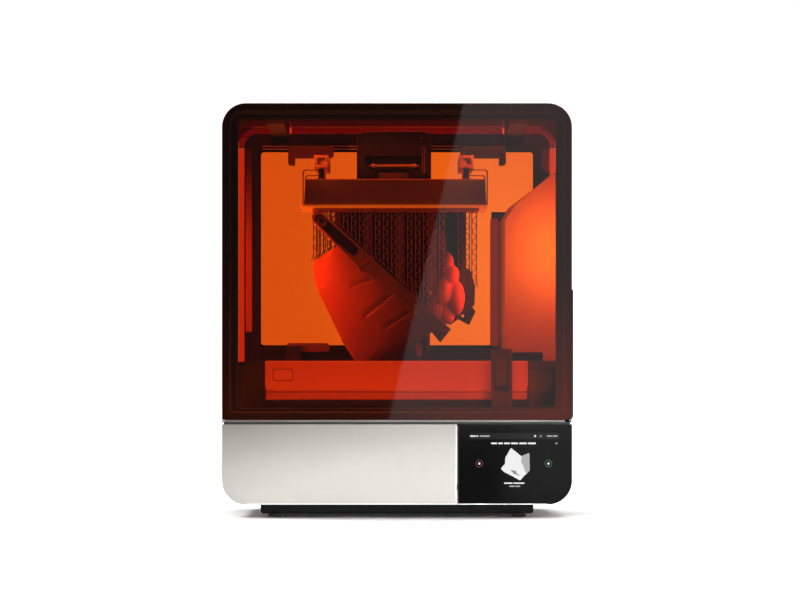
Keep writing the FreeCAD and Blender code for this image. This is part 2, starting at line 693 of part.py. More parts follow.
def bay_solid(inset, y0, y1):
    return Part.makeLoft([bay_section(inset, y0), bay_section(inset, y1)], True, True)


def cartridge_bay_housing():
    outer = bay_solid(0, BAY_Y0, WALL_FRONT)
    inner = bay_solid(SKIN_T, BAY_Y0 + SKIN_T, WALL_FRONT + 1)
    floor = block(204, 297.5, BAY_Y0 + 1, WALL_FRONT, 193, 196)
    return join([outer.cut(inner), floor])


def dispense_valves():
    valves = []
    for x in CARTRIDGE_X:
        body = block(x + 8, x + 31, 112, 140, 176, 193)
        barb = rod(V(x + 19.5, 126, DECK_TOP), V(x + 19.5, 126, 177), 4)
        valves.append(join([body, barb]))
    return group(valves)


def cartridge(x):
    body = block(x, x + CARTRIDGE_W, 112, 250, CARTRIDGE_LOW, CARTRIDGE_HIGH)
    upright = [e for e in body.Edges if abs(e.tangentAt(e.FirstParameter).y) > 0.99]
    body = body.makeFillet(4.0, upright)
    grip = rounded_plate(x + 8, x + CARTRIDGE_W - 8, 300, 400, 238, 251, 5)
    return body.cut(grip)


# --- cover --------------------------------------------------------------------------------------
def cover_profile(inset, y0, y1, low):
    radius = CORNER_R - inset
    return plate(-HALF_WIDTH + inset, HALF_WIDTH - inset, low, COVER_TOP - inset, y0, y1, 0, 0, radius, radius)


def cover_shell():
    y0, y1 = FRONT + PANEL_T + FRAME_T, REAR - 4
    hood = cover_profile(0, y0, y1, COVER_BOTTOM).cut(cover_profile(COVER_T, y0, y1, COVER_BOTTOM - 5))
    lip = cover_profile(COVER_T, y1 - 3.5, y1, COVER_BOTTOM)
    lip = lip.common(block(-HALF_WIDTH, HALF_WIDTH, y1 - 4, y1, LIP_LOW, COVER_TOP))
    return join([hood, lip])


def cover_front_pane():
    pane = plate(-HALF_WIDTH, HALF_WIDTH, COVER_BOTTOM, COVER_TOP, FRONT, FRONT + PANEL_T,
                 0, 9, CORNER_R, CORNER_R)
    return soften(pane, 1.0, "Y", FRONT)


def cover_front_frame():
    y0 = FRONT + PANEL_T
    face = cover_profile(0, y0, y0 + FRAME_T, COVER_BOTTOM + 0.5)
    face = face.cut(rounded_plate(-BORDER_X, BORDER_X, BORDER_LOW, BORDER_HIGH, y0 - 1, y0 + 5, 8))
    flange = rounded_plate(-BORDER_X - 9, BORDER_X + 9, BORDER_LOW - 9, BORDER_HIGH + 9, y0 + 3, y0 + 20, 17)
    gap = rounded_plate(-BORDER_X - 5, BORDER_X + 5, BORDER_LOW - 5, BORDER_HIGH + 5, y0 + 2, y0 + 21, 13)
    return join([face, flange.cut(gap)])


def cover_seal():
    inner = HALF_WIDTH - COVER_T
    y0 = FRONT + 24
    left = block(-inner, -inner + 4, y0, 240, COVER_BOTTOM - 2, COVER_BOTTOM + 5)
    right = block(inner - 4, inner, y0, 240, COVER_BOTTOM - 2, COVER_BOTTOM + 5)
    front = block(-inner + 2, inner - 2, y0, y0 + 4, COVER_BOTTOM - 2, COVER_BOTTOM + 5)
    return join([left, right, front])


def cover_side_grip():
    outline = [V(HALF_WIDTH, -256, 178), V(HALF_WIDTH + 2, -256, 178), V(HALF_WIDTH + 5, -205, 178),
               V(HALF_WIDTH + 5, -150, 178), V(HALF_WIDTH, -105, 178)]
    return prism(outline, V(0, 0, 227))


def cover_hinge_arms():
    """Two flat arms under the cover's top, each ending in an eye that sits in the rear wall's beam."""
    ceiling = COVER_TOP - COVER_T
    profile = [(-126, ceiling), (-126, ceiling - 4), (-90, ARM_LOW), (HINGE_Y - 9, ARM_LOW),
               (HINGE_Y - 9, HINGE_Z), (HINGE_Y + 7, HINGE_Z), (HINGE_Y + 7, ceiling)]
    bar = side_prism(profile, ARM_X0, ARM_X1)
    eye = rod(V(ARM_X0, HINGE_Y, HINGE_Z), V(ARM_X1, HINGE_Y, HINGE_Z), 9)
    bore = rod(V(ARM_X0 - 1, HINGE_Y, HINGE_Z), V(ARM_X1 + 1, HINGE_Y, HINGE_Z), HINGE_PIN_R + RUNNING_GAP)
    arm = join([bar, eye]).cut(bore)
    return group([arm, mirrored(arm)])


def wall_hooks():
    """The cover's stops: a bar under each end of the top beam, with its outer end bent down."""
    bar = block(121, 208, 214, WALL_FRONT, 671, 694)
    claw = block(195, 208, 214, WALL_FRONT, 657, 680)
    hook = join([bar, claw])
    for x, z, radius in ((121, 671, 8), (121, 694, 8), (208, 694, 6), (208, 657, 5)):
        hook = round_corner(hook, x, z, radius)
    return group([hook, mirrored(hook)])


def hinge_pins():
    pin = rod(V(PIN_X0, HINGE_Y, HINGE_Z), V(PIN_X1, HINGE_Y, HINGE_Z), HINGE_PIN_R)
    return group([pin, mirrored(pin)])


NODES = {
    "rubber_feet": rubber_feet,
    "base_pedestal": base_pedestal,
    "base_shell": base_shell,
    "front_panel": front_panel,
    "display_glass": display_glass,
    "display_module": display_module,
    "front_subframe": front_subframe,
    "base_deck": base_deck,
    "trim_strip": trim_strip,
    "rear_panel": rear_panel,
    "panel_screws": panel_screws,
    "rear_sockets": rear_sockets,
    "power_rocker": power_rocker,
    "fan_frames": fan_frames,
    "fan_rotor_left": lambda: fan_rotor(FAN_X[0]),
    "fan_rotor_right": lambda: fan_rotor(FAN_X[1]),
    "light_engine_housing": light_engine_housing,
    "light_engine_window": light_engine_window,
    "led_array": led_array,
    "main_board": main_board,
    "power_supply": power_supply,
    "z_motor": z_motor,
    "tower_housing": tower_housing,
    "linear_rails": linear_rails,
    "screw_bearings": screw_bearings,
    "lead_screw": lead_screw,
    "carriage_head": carriage_head,
    "platform_lock_bail": platform_lock_bail,
    "carriage_bearings": carriage_bearings,
    "screw_nut": screw_nut,
    "platform_body": platform_body,
    "platform_sheet": platform_sheet,
    "handle_posts": handle_posts,
    "release_handle_left": lambda: release_handle(HANDLE_X[0]),
    "release_handle_right": lambda: release_handle(HANDLE_X[1]),
    "release_wires": release_wires,
    "hanging_print": hanging_print,
    "tank_carrier": tank_carrier,
    "tank_body": tank_body,
    "tank_film": tank_film,
    "mixer_rail": mixer_rail,
    "mixer_drive": mixer_drive,
    "mixer_arm": mixer_arm,
    "tank_latch_post": tank_latch_post,
    "tank_latch_lever": tank_latch_lever,
    "rear_wall_frame": rear_wall_frame,
    "rear_window_gasket": rear_window_gasket,
    "rear_window": rear_window,
    "cartridge_bay_housing": cartridge_bay_housing,
    "dispense_valves": dispense_valves,
    "cartridge_left": lambda: cartridge(CARTRIDGE_X[0]),
    "cartridge_right": lambda: cartridge(CARTRIDGE_X[1]),
    "cover_shell": cover_shell,
    "cover_front_pane": cover_front_pane,
    "cover_front_frame": cover_front_frame,
    "cover_seal": cover_seal,
    "cover_side_grip": cover_side_grip,
    "cover_hinge_arms": cover_hinge_arms,
    "wall_hooks": wall_hooks,
    "hinge_pins": hinge_pins,
}

os.makedirs("parts", exist_ok=True)
for name, make in NODES.items():
    shape = make()
    shape.exportStep("parts/" + name + ".step")
    print(name, len(shape.Solids), round(shape.Volume / 1000), "cm3", shape.isValid())
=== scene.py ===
import bpy
import bmesh
import math
from mathutils import Matrix, Vector


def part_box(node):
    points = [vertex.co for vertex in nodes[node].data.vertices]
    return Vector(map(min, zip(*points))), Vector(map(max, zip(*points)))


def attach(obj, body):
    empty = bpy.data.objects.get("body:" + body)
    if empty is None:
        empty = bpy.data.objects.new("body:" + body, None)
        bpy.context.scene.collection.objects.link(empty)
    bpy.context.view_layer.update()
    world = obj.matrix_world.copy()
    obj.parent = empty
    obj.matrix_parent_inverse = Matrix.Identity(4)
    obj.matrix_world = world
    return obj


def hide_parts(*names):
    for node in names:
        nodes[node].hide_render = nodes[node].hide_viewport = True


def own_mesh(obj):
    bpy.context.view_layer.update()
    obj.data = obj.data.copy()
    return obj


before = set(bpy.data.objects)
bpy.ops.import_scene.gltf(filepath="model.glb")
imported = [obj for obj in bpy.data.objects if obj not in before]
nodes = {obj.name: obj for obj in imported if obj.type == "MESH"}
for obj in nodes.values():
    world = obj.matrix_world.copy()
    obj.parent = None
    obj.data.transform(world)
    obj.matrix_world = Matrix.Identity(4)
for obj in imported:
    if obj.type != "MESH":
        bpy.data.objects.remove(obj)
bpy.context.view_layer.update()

scene = bpy.context.scene
MM = 0.001
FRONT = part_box("display_glass")[0][1] / MM       # front face of the machine, in mm
ACRYLIC_IOR = 1.49


def box_mm(name):
    """The low and high corners of a CAD node, in mm."""
    low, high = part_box(name)
    return low / MM, high / MM


# --- material helpers ---------------------------------------------------------------------------
class Graph:
    """The node tree of a material or world, with short calls for the nodes that are used here."""

    def __init__(self, owner, output="OutputMaterial"):
        self.owner = owner
        owner.use_nodes = True
        self.tree = owner.node_tree
        self.tree.nodes.clear()
        self.output = self.node(output)

    def node(self, kind, inputs=None, **settings):
        made = self.tree.nodes.new("ShaderNode" + kind)
        for key, value in settings.items():
            setattr(made, key, value)
        self.fill(made, inputs or {})
        return made

    def fill(self, made, inputs):
        """Gives each input its value, or a link from another node's output."""
        for key, value in inputs.items():
            if isinstance(value, bpy.types.NodeSocket):
                self.tree.links.new(value, made.inputs[key])
            else:
                made.inputs[key].default_value = value

    def position(self, scale=(1, 1, 1)):
        place = self.node("NewGeometry").outputs["Position"]
        return self.node("Mapping", {"Vector": place, "Scale": scale}).outputs["Vector"]

    def along(self, direction):
        """How far a point of the piece lies along a direction, in metres."""
        place = self.node("TexCoord").outputs["Object"]
        return self.node("VectorMath", {0: place, 1: direction}, operation="DOT_PRODUCT").outputs["Value"]

    def noise(self, scale, detail=3.0, stretch=(1, 1, 1)):
        inputs = {"Vector": self.position(stretch), "Scale": scale, "Detail": detail}
        return self.node("TexNoise", inputs).outputs["Fac"]

    def spread(self, source, low, high, start=0.3, stop=0.7, kind="LINEAR"):
        """Maps a value between start and stop onto low..high."""
        inputs = {"Value": source, "From Min": start, "From Max": stop, "To Min": low, "To Max": high}
        return self.node("MapRange", inputs, interpolation_type=kind).outputs["Result"]

    def blend(self, factor, first, second):
        """Mixes two colours; each is a tuple or another node's output."""
        first, second = ((*c, 1) if isinstance(c, tuple) else c for c in (first, second))
        inputs = {"Factor": factor, "A": first, "B": second}
        return self.node("Mix", inputs, data_type="RGBA").outputs["Result"]

    def calculate(self, operation, first, second):
        return self.node("Math", {0: first, 1: second}, operation=operation).outputs["Value"]

    def bump(self, height, strength, distance):
        inputs = {"Height": height, "Strength": strength, "Distance": distance}
        return self.node("Bump", inputs).outputs["Normal"]

    def mix_shaders(self, factor, first, second):
        return self.node("MixShader", {"Fac": factor, 1: first, 2: second}).outputs["Shader"]

    def finish(self, shader):
        self.fill(self.output, {"Surface": shader})
        return self.owner


def material_graph(name):
    return Graph(bpy.data.materials.new(name))


def scaled(colour, factor):
    return tuple(min(1.0, c * factor) for c in colour)


def surface(name, colour, roughness, metallic=0.0, grain=900.0, grain_depth=0.00006, stretch=(1, 1, 1),
            mottle=0.12, worn=0.0, translucent=0.0, emission=None, shine=0.5, painted_light_ramp=None):
    """A painted, moulded or machined surface: mottled colour, uneven gloss, fine bump, paler worn edges.

    painted_light_ramp is (direction, start, stop, colour): the colour that it turns to along a direction, in
    metres; it paints light and shade into the colour.
    """
    g = material_graph(name)
    base = g.blend(g.noise(14.0, 5.0), scaled(colour, 1 - mottle), scaled(colour, 1 + mottle))
    if painted_light_ramp:
        direction, start, stop, deep = painted_light_ramp
        base = g.blend(g.spread(g.along(direction), 0.0, 1.0, start, stop), base, deep)
    if worn:
        edge = g.spread(g.node("NewGeometry").outputs["Pointiness"], 0.0, worn, 0.52, 0.60)
        base = g.blend(edge, base, scaled(tuple(c + 0.05 for c in colour), 2.2))
    shader = g.node("BsdfPrincipled", {
        "Base Color": base,
        "Roughness": g.spread(g.noise(45.0, 4.0), roughness * 0.85, min(1.0, roughness * 1.18)),
        "Normal": g.bump(g.noise(grain, 2.0, stretch), 0.35, grain_depth),
        "Metallic": metallic,
        "Specular IOR Level": shine})
    if emission:
        g.fill(shader, {"Emission Color": (*emission[0], 1), "Emission Strength": emission[1]})
    result = shader.outputs["BSDF"]
    if translucent:
        glow = g.node("BsdfTranslucent", {"Color": (*colour, 1)})
        result = g.mix_shaders(translucent, result, glow.outputs["BSDF"])
    return g.finish(result)


def tinted_sheet(name, straight, grazing, roughness, shine=1.0):
    """Coloured acrylic: each face tints what passes, more at grazing angles, and front faces reflect."""
    g = material_graph(name)
    facing = g.node("LayerWeight", {"Blend": 0.5}).outputs["Facing"]
    clear = g.node("BsdfTransparent", {"Color": g.blend(facing, straight, grazing)})
    gloss = g.node("BsdfGlossy", {
        "Roughness": g.spread(g.noise(30.0, 4.0), roughness * 0.7, roughness * 1.6),
        "Normal": g.bump(g.noise(9.0, 2.0), 0.02, 0.0004)})
    fresnel = g.node("Fresnel", {"IOR": ACRYLIC_IOR}).outputs["Fac"]
    front = g.calculate("SUBTRACT", 1.0, g.node("NewGeometry").outputs["Backfacing"])
    factor = g.calculate("MULTIPLY", g.calculate("MULTIPLY", fresnel, shine), front)
    return g.finish(g.mix_shaders(factor, clear.outputs["BSDF"], gloss.outputs["BSDF"]))


def glowing(name, colour, strength=1.0):
    """A lit part of the touch display, very slightly uneven in brightness."""
    g = material_graph(name)
    shader = g.node("BsdfPrincipled", {
        "Base Color": (*scaled(colour, 0.05), 1),
        "Roughness": 0.06,
        "Emission Color": g.blend(g.noise(2600.0, 1.0), scaled(colour, 0.86), colour),
        "Emission Strength": strength})
    return g.finish(shader.outputs["BSDF"])


# --- materials ----------------------------------------------------------------------------------
PANE_TINTS = ((0.90, 0.520, 0.225), (0.80, 0.35, 0.13))
WARM_GREY = (0.60, 0.575, 0.53)
PAINT = {"roughness": 0.42, "metallic": 0.55, "grain": 2600, "grain_depth": 0.00003, "mottle": 0.015}

pane_amber = tinted_sheet("pane_amber", *PANE_TINTS, 0.012)
window_amber = tinted_sheet("window_amber", *PANE_TINTS, 0.05)
shell_amber = tinted_sheet("shell_amber", (0.89, 0.34, 0.14), (0.13, 0.024, 0.015), 0.05, shine=0.25)
# painted shade: darker amber for strips that hide the light in the gaps above the rear wall
painted_shade_amber = tinted_sheet("painted_shade_amber", (0.42, 0.08, 0.045), (0.30, 0.04, 0.02), 0.2, shine=0.3)
# painted shade: a deeper tint for the window's side strips
strip_amber_painted_shade = tinted_sheet("strip_amber_painted_shade", (0.78, 0.24, 0.12), (0.6, 0.12, 0.05), 0.1)
light_paint = surface("warm_grey_paint", WARM_GREY, **PAINT)
# painted shade: the front panel's paint darkens towards its upper left, standing in for the fall-off of the
# light
front_paint_painted_shade = surface("front_paint_painted_shade", WARM_GREY, **PAINT,
                      painted_light_ramp=((-0.35, 0, 1.0), 0.12, 0.27, (0.40, 0.385, 0.35)))
black_gloss = surface("black_glass", (0.0012, 0.0012, 0.0013), 0.06, grain=40, grain_depth=0.00001,
                      mottle=0.3)
arm_black = surface("arm_black", (0.014, 0.010, 0.010), 0.45, grain=1400, worn=0.1)
dark_cast = surface("dark_cast", (0.038, 0.024, 0.022), 0.5, grain=1400, worn=0.15)
lit_cast = surface("lit_cast", (0.19, 0.13, 0.12), 0.45, grain=1400, worn=0.2)
beam_cast = surface("beam_cast", (0.034, 0.029, 0.030), 0.38, grain=1400, worn=0.12)
# painted light: the cover's front frame turns paler and redder towards its right side, where the light falls
frame_black_painted_light = surface("frame_black_painted_light", (0.021, 0.0065, 0.005), 0.5, grain=1200, shine=0.3,
                      painted_light_ramp=((1, 0, 0), -0.05, 0.32, (0.095, 0.019, 0.015)))
frame_bead = surface("frame_bead", (0.030, 0.008, 0.006), 0.4, grain=900)
frame_band = surface("frame_band", (0.060, 0.013, 0.009), 0.4, grain=900)
head_cast = surface("head_cast", (0.042, 0.034, 0.033), 0.40, grain=1500, worn=0.3)
# painted light: the bay's flank glows red, standing in for light falling on it
flank_painted_glow = surface("flank_painted_glow", (0.40, 0.12, 0.08), 0.5, grain=1500, emission=((1.0, 0.11, 0.06), 0.17))
# painted light: bright orange strips stand in for the lit edges of the rear wall, with painted shade towards
# their tops
painted_edge_glow = surface("painted_edge_glow", (0.85, 0.34, 0.12), 0.4, grain=1400, mottle=0.05,
                       painted_light_ramp=((0, 0, 1), 0.50, 0.66, (0.12, 0.05, 0.04)))
dark_moulded = surface("dark_moulded", (0.030, 0.029, 0.030), 0.5, grain=1800, worn=0.3)
pedestal_black = surface("pedestal_black", (0.004, 0.004, 0.0043), 0.7, grain=1800, shine=0.12)
rail_black = surface("rail_black", (0.009, 0.009, 0.010), 0.5, grain=1500)
latch_grey = surface("latch_grey", (0.135, 0.075, 0.066), 0.42, grain=1500, worn=0.25)
rubber = surface("rubber", (0.008, 0.008, 0.008), 0.75, grain=900)
silver = surface("silver_trim", (0.62, 0.61, 0.60), 0.33, metallic=1.0, grain=1500, stretch=(0.03, 1, 1))
# painted highlight: near-white strips stand in for the highlights on the panel's edges and the wall's ridges
edge_painted_highlight = surface("edge_painted_highlight", (0.95, 0.94, 0.92), 0.5, metallic=0.1, grain=1500)
steel = surface("machined_steel", (0.5, 0.5, 0.51), 0.3, metallic=1.0, grain=1500, stretch=(0.05, 1, 1))
dark_steel = surface("dark_steel", (0.16, 0.155, 0.155), 0.32, metallic=1.0, grain=1500, stretch=(1, 1, 0.05))
# painted highlight: the bail's steel is near white, standing in for its highlights
steel_painted_highlight = surface("steel_painted_highlight", (1.0, 0.98, 0.96), 0.3, metallic=0.35, grain=1500)
cast_grey = surface("blasted_aluminium", (0.29, 0.20, 0.18), 0.45, metallic=0.3, grain=1600, worn=0.35)
handle_grey = surface("handle_aluminium", (0.70, 0.46, 0.38), 0.4, metallic=0.15, grain=1600, worn=0.3)
# painted reflection: the sheet is near white with an orange glow, standing in for its reflection of the
# bright window behind
spring_steel_painted_reflection = surface("spring_steel_painted_reflection", (0.98, 0.90, 0.74), 0.30, metallic=0.25, grain=1200,
                       stretch=(0.1, 1, 1), emission=((1.0, 0.42, 0.04), 0.42))
bay_grey = surface("bay_plastic", (0.40, 0.34, 0.31), 0.55, grain=1500, mottle=0.04)
# painted light: the tank glows faintly red, standing in for the light on and through it
tank_orange_painted_glow = surface("tank_plastic", (0.80, 0.36, 0.13), 0.33, grain=1300, mottle=0.03, translucent=0.15,
                      emission=((1.0, 0.10, 0.05), 0.20))
# painted shade: the print's resin darkens towards its lower right, standing in for the fall-off of the light
# from the upper left
print_resin_painted_shade = surface("cured_resin", (0.60, 0.27, 0.20), 0.34, grain=1500, mottle=0.05, worn=0.2,
                     painted_light_ramp=((1.0, 0, -0.6), -0.42, -0.17, (0.10, 0.045, 0.035)))
# painted shade: the lobes darken towards their left, away from the lamp at their right
lobe_resin_painted_shade = surface("lobe_resin_painted_shade", (0.85, 0.30, 0.18), 0.34, grain=1500, mottle=0.05,
                     painted_light_ramp=((-1.0, 0, 0.35), 0.053, 0.076, (0.07, 0.022, 0.016)))
# painted shade: the back of the tube is darker, showing the shade inside its pocket
tube_painted_shade = surface("tube_pocket", (0.14, 0.065, 0.05), 0.5, grain=1500)
support_resin = surface("support_resin", (0.42, 0.21, 0.17), 0.4, grain=1500)
# painted shade: dimmer and near-black copies of the support resin for the rows further back
support_painted_half_shade = surface("support_painted_half_shade", (0.16, 0.07, 0.055), 0.5, grain=1500)
support_painted_shade = surface("support_painted_shade", (0.020, 0.011, 0.010), 0.6, grain=1500, shine=0.1)
# painted highlight: the pale glowing rim stands in for the lit top edge of the tank
tank_rim_painted_highlight = surface("tank_rim_painted_highlight", (1.0, 0.50, 0.25), 0.3, grain=1300, mottle=0.03,
                   emission=((1.0, 0.16, 0.05), 0.2))
tank_line = surface("tank_line", (0.30, 0.10, 0.05), 0.4, grain=1300, mottle=0.03)
bracket_dark = surface("bracket_resin", (0.05, 0.045, 0.045), 0.4, grain=1500)
board_green = surface("solder_mask", (0.02, 0.12, 0.05), 0.35, worn=0.2)
brass = surface("brass", (0.6, 0.42, 0.18), 0.3, metallic=1.0)
screen_white = glowing("screen_white", (0.95, 0.95, 0.95), 0.9)
screen_grey = glowing("screen_grey", (0.55, 0.55, 0.55), 0.8)
screen_shade = glowing("screen_shade", (0.30, 0.30, 0.30), 0.7)
screen_bar = glowing("screen_bar", (0.10, 0.10, 0.10), 0.10)
screen_red = glowing("screen_red", (0.75, 0.13, 0.13), 0.6)
screen_green = glowing("screen_green", (0.20, 0.62, 0.25), 0.6)

# material, width of the eased edges in mm, CAD nodes
FINISHES = (
    (shell_amber, 0.0, ("cover_shell",)),
    (pane_amber, 0.0, ("cover_front_pane",)),
    (window_amber, 0.0, ("rear_window",)),
    (front_paint_painted_shade, 0.6, ("front_panel",)),
    (light_paint, 0.6, ("base_shell",)),
    (light_paint, 0.0, ("rear_panel",)),
    (black_gloss, 0.4, ("display_glass", "display_module", "light_engine_window", "tank_film")),
    (dark_cast, 0.6, ("tower_housing", "tank_carrier", "light_engine_housing", "z_motor")),
    (arm_black, 0.8, ("cover_hinge_arms",)),
    (lit_cast, 1.0, ("wall_hooks", "mixer_drive")),
    (beam_cast, 1.2, ("rear_wall_frame",)),
    (frame_black_painted_light, 0.4, ("cover_front_frame",)),
    (head_cast, 0.8, ("carriage_head",)),
    (rail_black, 0.6, ("mixer_rail",)),
    (latch_grey, 0.8, ("tank_latch_post", "tank_latch_lever")),
    (dark_moulded, 0.6, ("base_deck", "cover_side_grip", "handle_posts", "power_rocker", "rear_sockets",
                         "fan_frames", "fan_rotor_left", "fan_rotor_right", "cartridge_left",
                         "cartridge_right", "dispense_valves", "power_supply")),
    (pedestal_black, 0.6, ("base_pedestal",)),
    (rubber, 0.3, ("rubber_feet", "cover_seal", "rear_window_gasket")),
    (silver, 0.2, ("trim_strip",)),
    (steel, 0.2, ("front_subframe", "panel_screws", "screw_bearings", "hinge_pins", "release_wires",
                  "led_array")),
    (dark_steel, 0.3, ("linear_rails", "lead_screw", "carriage_bearings")),
    (steel_painted_highlight, 0.1, ("platform_lock_bail",)),
    (cast_grey, 0.8, ("platform_body",)),
    (handle_grey, 0.6, ("release_handle_left", "release_handle_right")),
    (spring_steel_painted_reflection, 0.0, ("platform_sheet",)),
    (bay_grey, 1.2, ("cartridge_bay_housing",)),
    (tank_orange_painted_glow, 0.5, ("tank_body",)),
    (dark_moulded, 0.3, ("mixer_arm",)),
    (print_resin_painted_shade, 0.0, ("hanging_print",)),
    (board_green, 0.2, ("main_board",)),
    (brass, 0.2, ("screw_nut",)),
)


def finish_node(name, material, bevel):
    """Gives a CAD node its material, and eases its sharp edges."""
    node = nodes[name]
    node.data.materials.clear()
    node.data.materials.append(material)
    if bevel:
        weld = node.modifiers.new("weld", "WELD")
        weld.merge_threshold = 0.00002
        ease = node.modifiers.new("ease", "BEVEL")
        ease.width = bevel * MM
        ease.segments = 2
        ease.limit_method = "ANGLE"
        ease.angle_limit = math.radians(40)
        ease.harden_normals = True


def tint_window_strips():
    """The strips beside the rear wall are painted deeper in colour than the window itself, as painted shade.
    """
    mesh = nodes["rear_window"].data
    mesh.materials.append(strip_amber_painted_shade)
    wall_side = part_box("rear_wall_frame")[1][0] - MM
    for polygon in mesh.polygons:
        if abs(polygon.center.x) > wall_side:
            polygon.material_index = 1


for material, bevel, names in FINISHES:
    for name in names:
        finish_node(name, material, bevel)
tint_window_strips()


# --- mesh helpers -------------------------------------------------------------------------------
def piece(name, mesh, material, body, crease=35.0):
    """Makes a visible piece that rides on a body; edges sharper than crease degrees stay sharp."""
    made = bpy.data.objects.new(name, mesh)
    scene.collection.objects.link(made)
    mesh.materials.clear()
    mesh.materials.append(material)
    for polygon in mesh.polygons:
        polygon.use_smooth = True
    mesh.set_sharp_from_angle(angle=math.radians(crease))
    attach(made, body)
    return made


def settle(made):
    """Applies a piece's modifiers to its mesh."""
    bpy.context.view_layer.update()
    graph = bpy.context.evaluated_depsgraph_get()
    mesh = bpy.data.meshes.new_from_object(made.evaluated_get(graph))
    made.modifiers.clear()
    made.data = mesh
    return made


def rounded(points, radius, steps=6):
    """A closed (x, z) outline with each corner replaced by an arc; radius is one number or one per corner."""
    radii = radius if isinstance(radius, (list, tuple)) else [radius] * len(points)
    outline = []
    for i, corner in enumerate(points):
        here = Vector(corner)
        back = (Vector(points[i - 1]) - here)
        ahead = (Vector(points[(i + 1) % len(points)]) - here)
        half = back.angle(ahead) / 2
        reach = min(radii[i] / math.tan(half), back.length * 0.48, ahead.length * 0.48)
        if reach < 0.01:
            outline.append(tuple(here))
            continue
        start = here + back.normalized() * reach
        end = here + ahead.normalized() * reach
        for k in range(steps + 1):
            t = k / steps
            outline.append(tuple(start * (1 - t) ** 2 + here * 2 * t * (1 - t) + end * t ** 2))
    return outline


def rectangle(x0, x1, z0, z1, radius=0.0):
    corners = [(x0, z0), (x1, z0), (x1, z1), (x0, z1)]
    return rounded(corners, radius) if radius else corners


def circle(x, z, radius, steps=32):
    return [(x + radius * math.cos(2 * math.pi * k / steps), z + radius * math.sin(2 * math.pi * k / steps))
            for k in range(steps)]


def slab_mesh(outlines, y0, y1, bevel):
    """Closed (x, z) outlines in mm pushed from y0 to y1, with eased edges; one inside another is a hole."""
    curve = bpy.data.curves.new("outline", "CURVE")
    curve.dimensions = "2D"
    curve.fill_mode = "BOTH"
    curve.bevel_depth = bevel * MM
    curve.bevel_resolution = 1
    curve.offset = -bevel * MM
    curve.extrude = ((y1 - y0) / 2 - bevel) * MM
    for outline in outlines:
        spline = curve.splines.new("POLY")
        spline.points.add(len(outline) - 1)
        for point, (x, z) in zip(spline.points, outline):
            point.co = (x * MM, z * MM, 0, 1)
        spline.use_cyclic_u = True
    carrier = bpy.data.objects.new("outline", curve)
    mesh = bpy.data.meshes.new_from_object(carrier)
    bpy.data.objects.remove(carrier)
    mesh.transform(Matrix.Translation((0, (y0 + y1) / 2 * MM, 0)) @ Matrix.Rotation(math.pi / 2, 4, "X"))
    weld = bmesh.new()
    weld.from_mesh(mesh)
    bmesh.ops.remove_doubles(weld, verts=weld.verts, dist=0.000005)
    bmesh.ops.recalc_face_normals(weld, faces=weld.faces)
    weld.to_mesh(mesh)
    weld.free()
    return mesh


def slab(name, outlines, y0, y1, material, bevel=0.3, body="chassis"):
    return piece(name, slab_mesh(outlines, y0, y1, bevel), material, body)


def mirrored(outline):
    return [(-x, z) for x, z in reversed(outline)]


def rods_mesh(name, rods, sides=5):
    """Thin rods in one mesh; each is (start, end, start radius, end radius), in mm."""
    points, faces = [], []
    for start, end, first, last in rods:
        axis = (end - start).normalized()
        side = axis.orthogonal().normalized()
        other = axis.cross(side)
        base = len(points)
        for centre, radius in ((start, first), (end, last)):
            for k in range(sides):
                angle = 2 * math.pi * k / sides
                points.append((centre + (side * math.cos(angle) + other * math.sin(angle)) * radius) * MM)
        for k in range(sides):
            after = (k + 1) % sides
            faces.append((base + k, base + after, base + sides + after, base + sides + k))
        faces.append(tuple(base + k for k in reversed(range(sides))))
        faces.append(tuple(base + sides + k for k in range(sides)))
    mesh = bpy.data.meshes.new(name)
    mesh.from_pydata(points, [], faces)
    return mesh


def bolt(x, z, front, back, tip, root):
    """A rod along y for rods_mesh, in mm."""
    return Vector((x, front, z)), Vector((x, back, z)), tip, root


def around(x, y, z, radius, turn):
    """A point in metres at a radius in mm and a share of a full turn from the vertical axis at (x, y)."""
    angle = 2 * math.pi * turn
    return (x + radius * math.cos(angle)) * MM, (y + radius * math.sin(angle)) * MM, z * MM


def ringed_mesh(name, rings):
    """Joins rings of equally many points into one closed tube."""
    steps = len(rings[0])
    faces = []
    for row in range(len(rings) - 1):
        for k in range(steps):
            after = (k + 1) % steps
            low, high = row * steps, (row + 1) * steps
            faces.append((low + k, low + after, high + after, high + k))
    faces.append(tuple(reversed(range(steps))))
    faces.append(tuple((len(rings) - 1) * steps + k for k in range(steps)))
    mesh = bpy.data.meshes.new(name)
    mesh.from_pydata([point for points in rings for point in points], [], faces)
    return mesh


# --- the print that hangs from the platform ------------------------------------------------------
SHEET_LOW = box_mm("platform_sheet")[0].z
PRINT_FRONT = box_mm("hanging_print")[0].y
TUBE_END, COLLAR, TIP = Vector((-143, 539)), Vector((-54, 454)), Vector((90, 324))
TUBE_AXIS = (COLLAR - TUBE_END).normalized()
SPINE_AXIS = (TIP - COLLAR).normalized()


def across(axis):
    return Vector((-axis.y, axis.x))


def tapered(start, end, first, last, steps=12):
    """A closed outline round two circles of different size."""
    axis = (end - start).normalized()
    side = across(axis)
    outline = []
    for centre, radius, sign in ((end, last, 1), (start, first, -1)):
        for k in range(steps + 1):
            angle = math.pi * k / steps
            point = centre + (side * math.cos(angle) + axis * math.sin(angle)) * radius * sign
            outline.append(tuple(point))
    return outline


def rides_with_print(made):
    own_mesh(made)


def print_slab(name, outlines, front, back, material, bevel):
    """A flat part of the print; front and back are depths behind the print's front, in mm."""
    return slab(name, outlines, PRINT_FRONT + front, PRINT_FRONT + back, material, bevel,
                "platform")


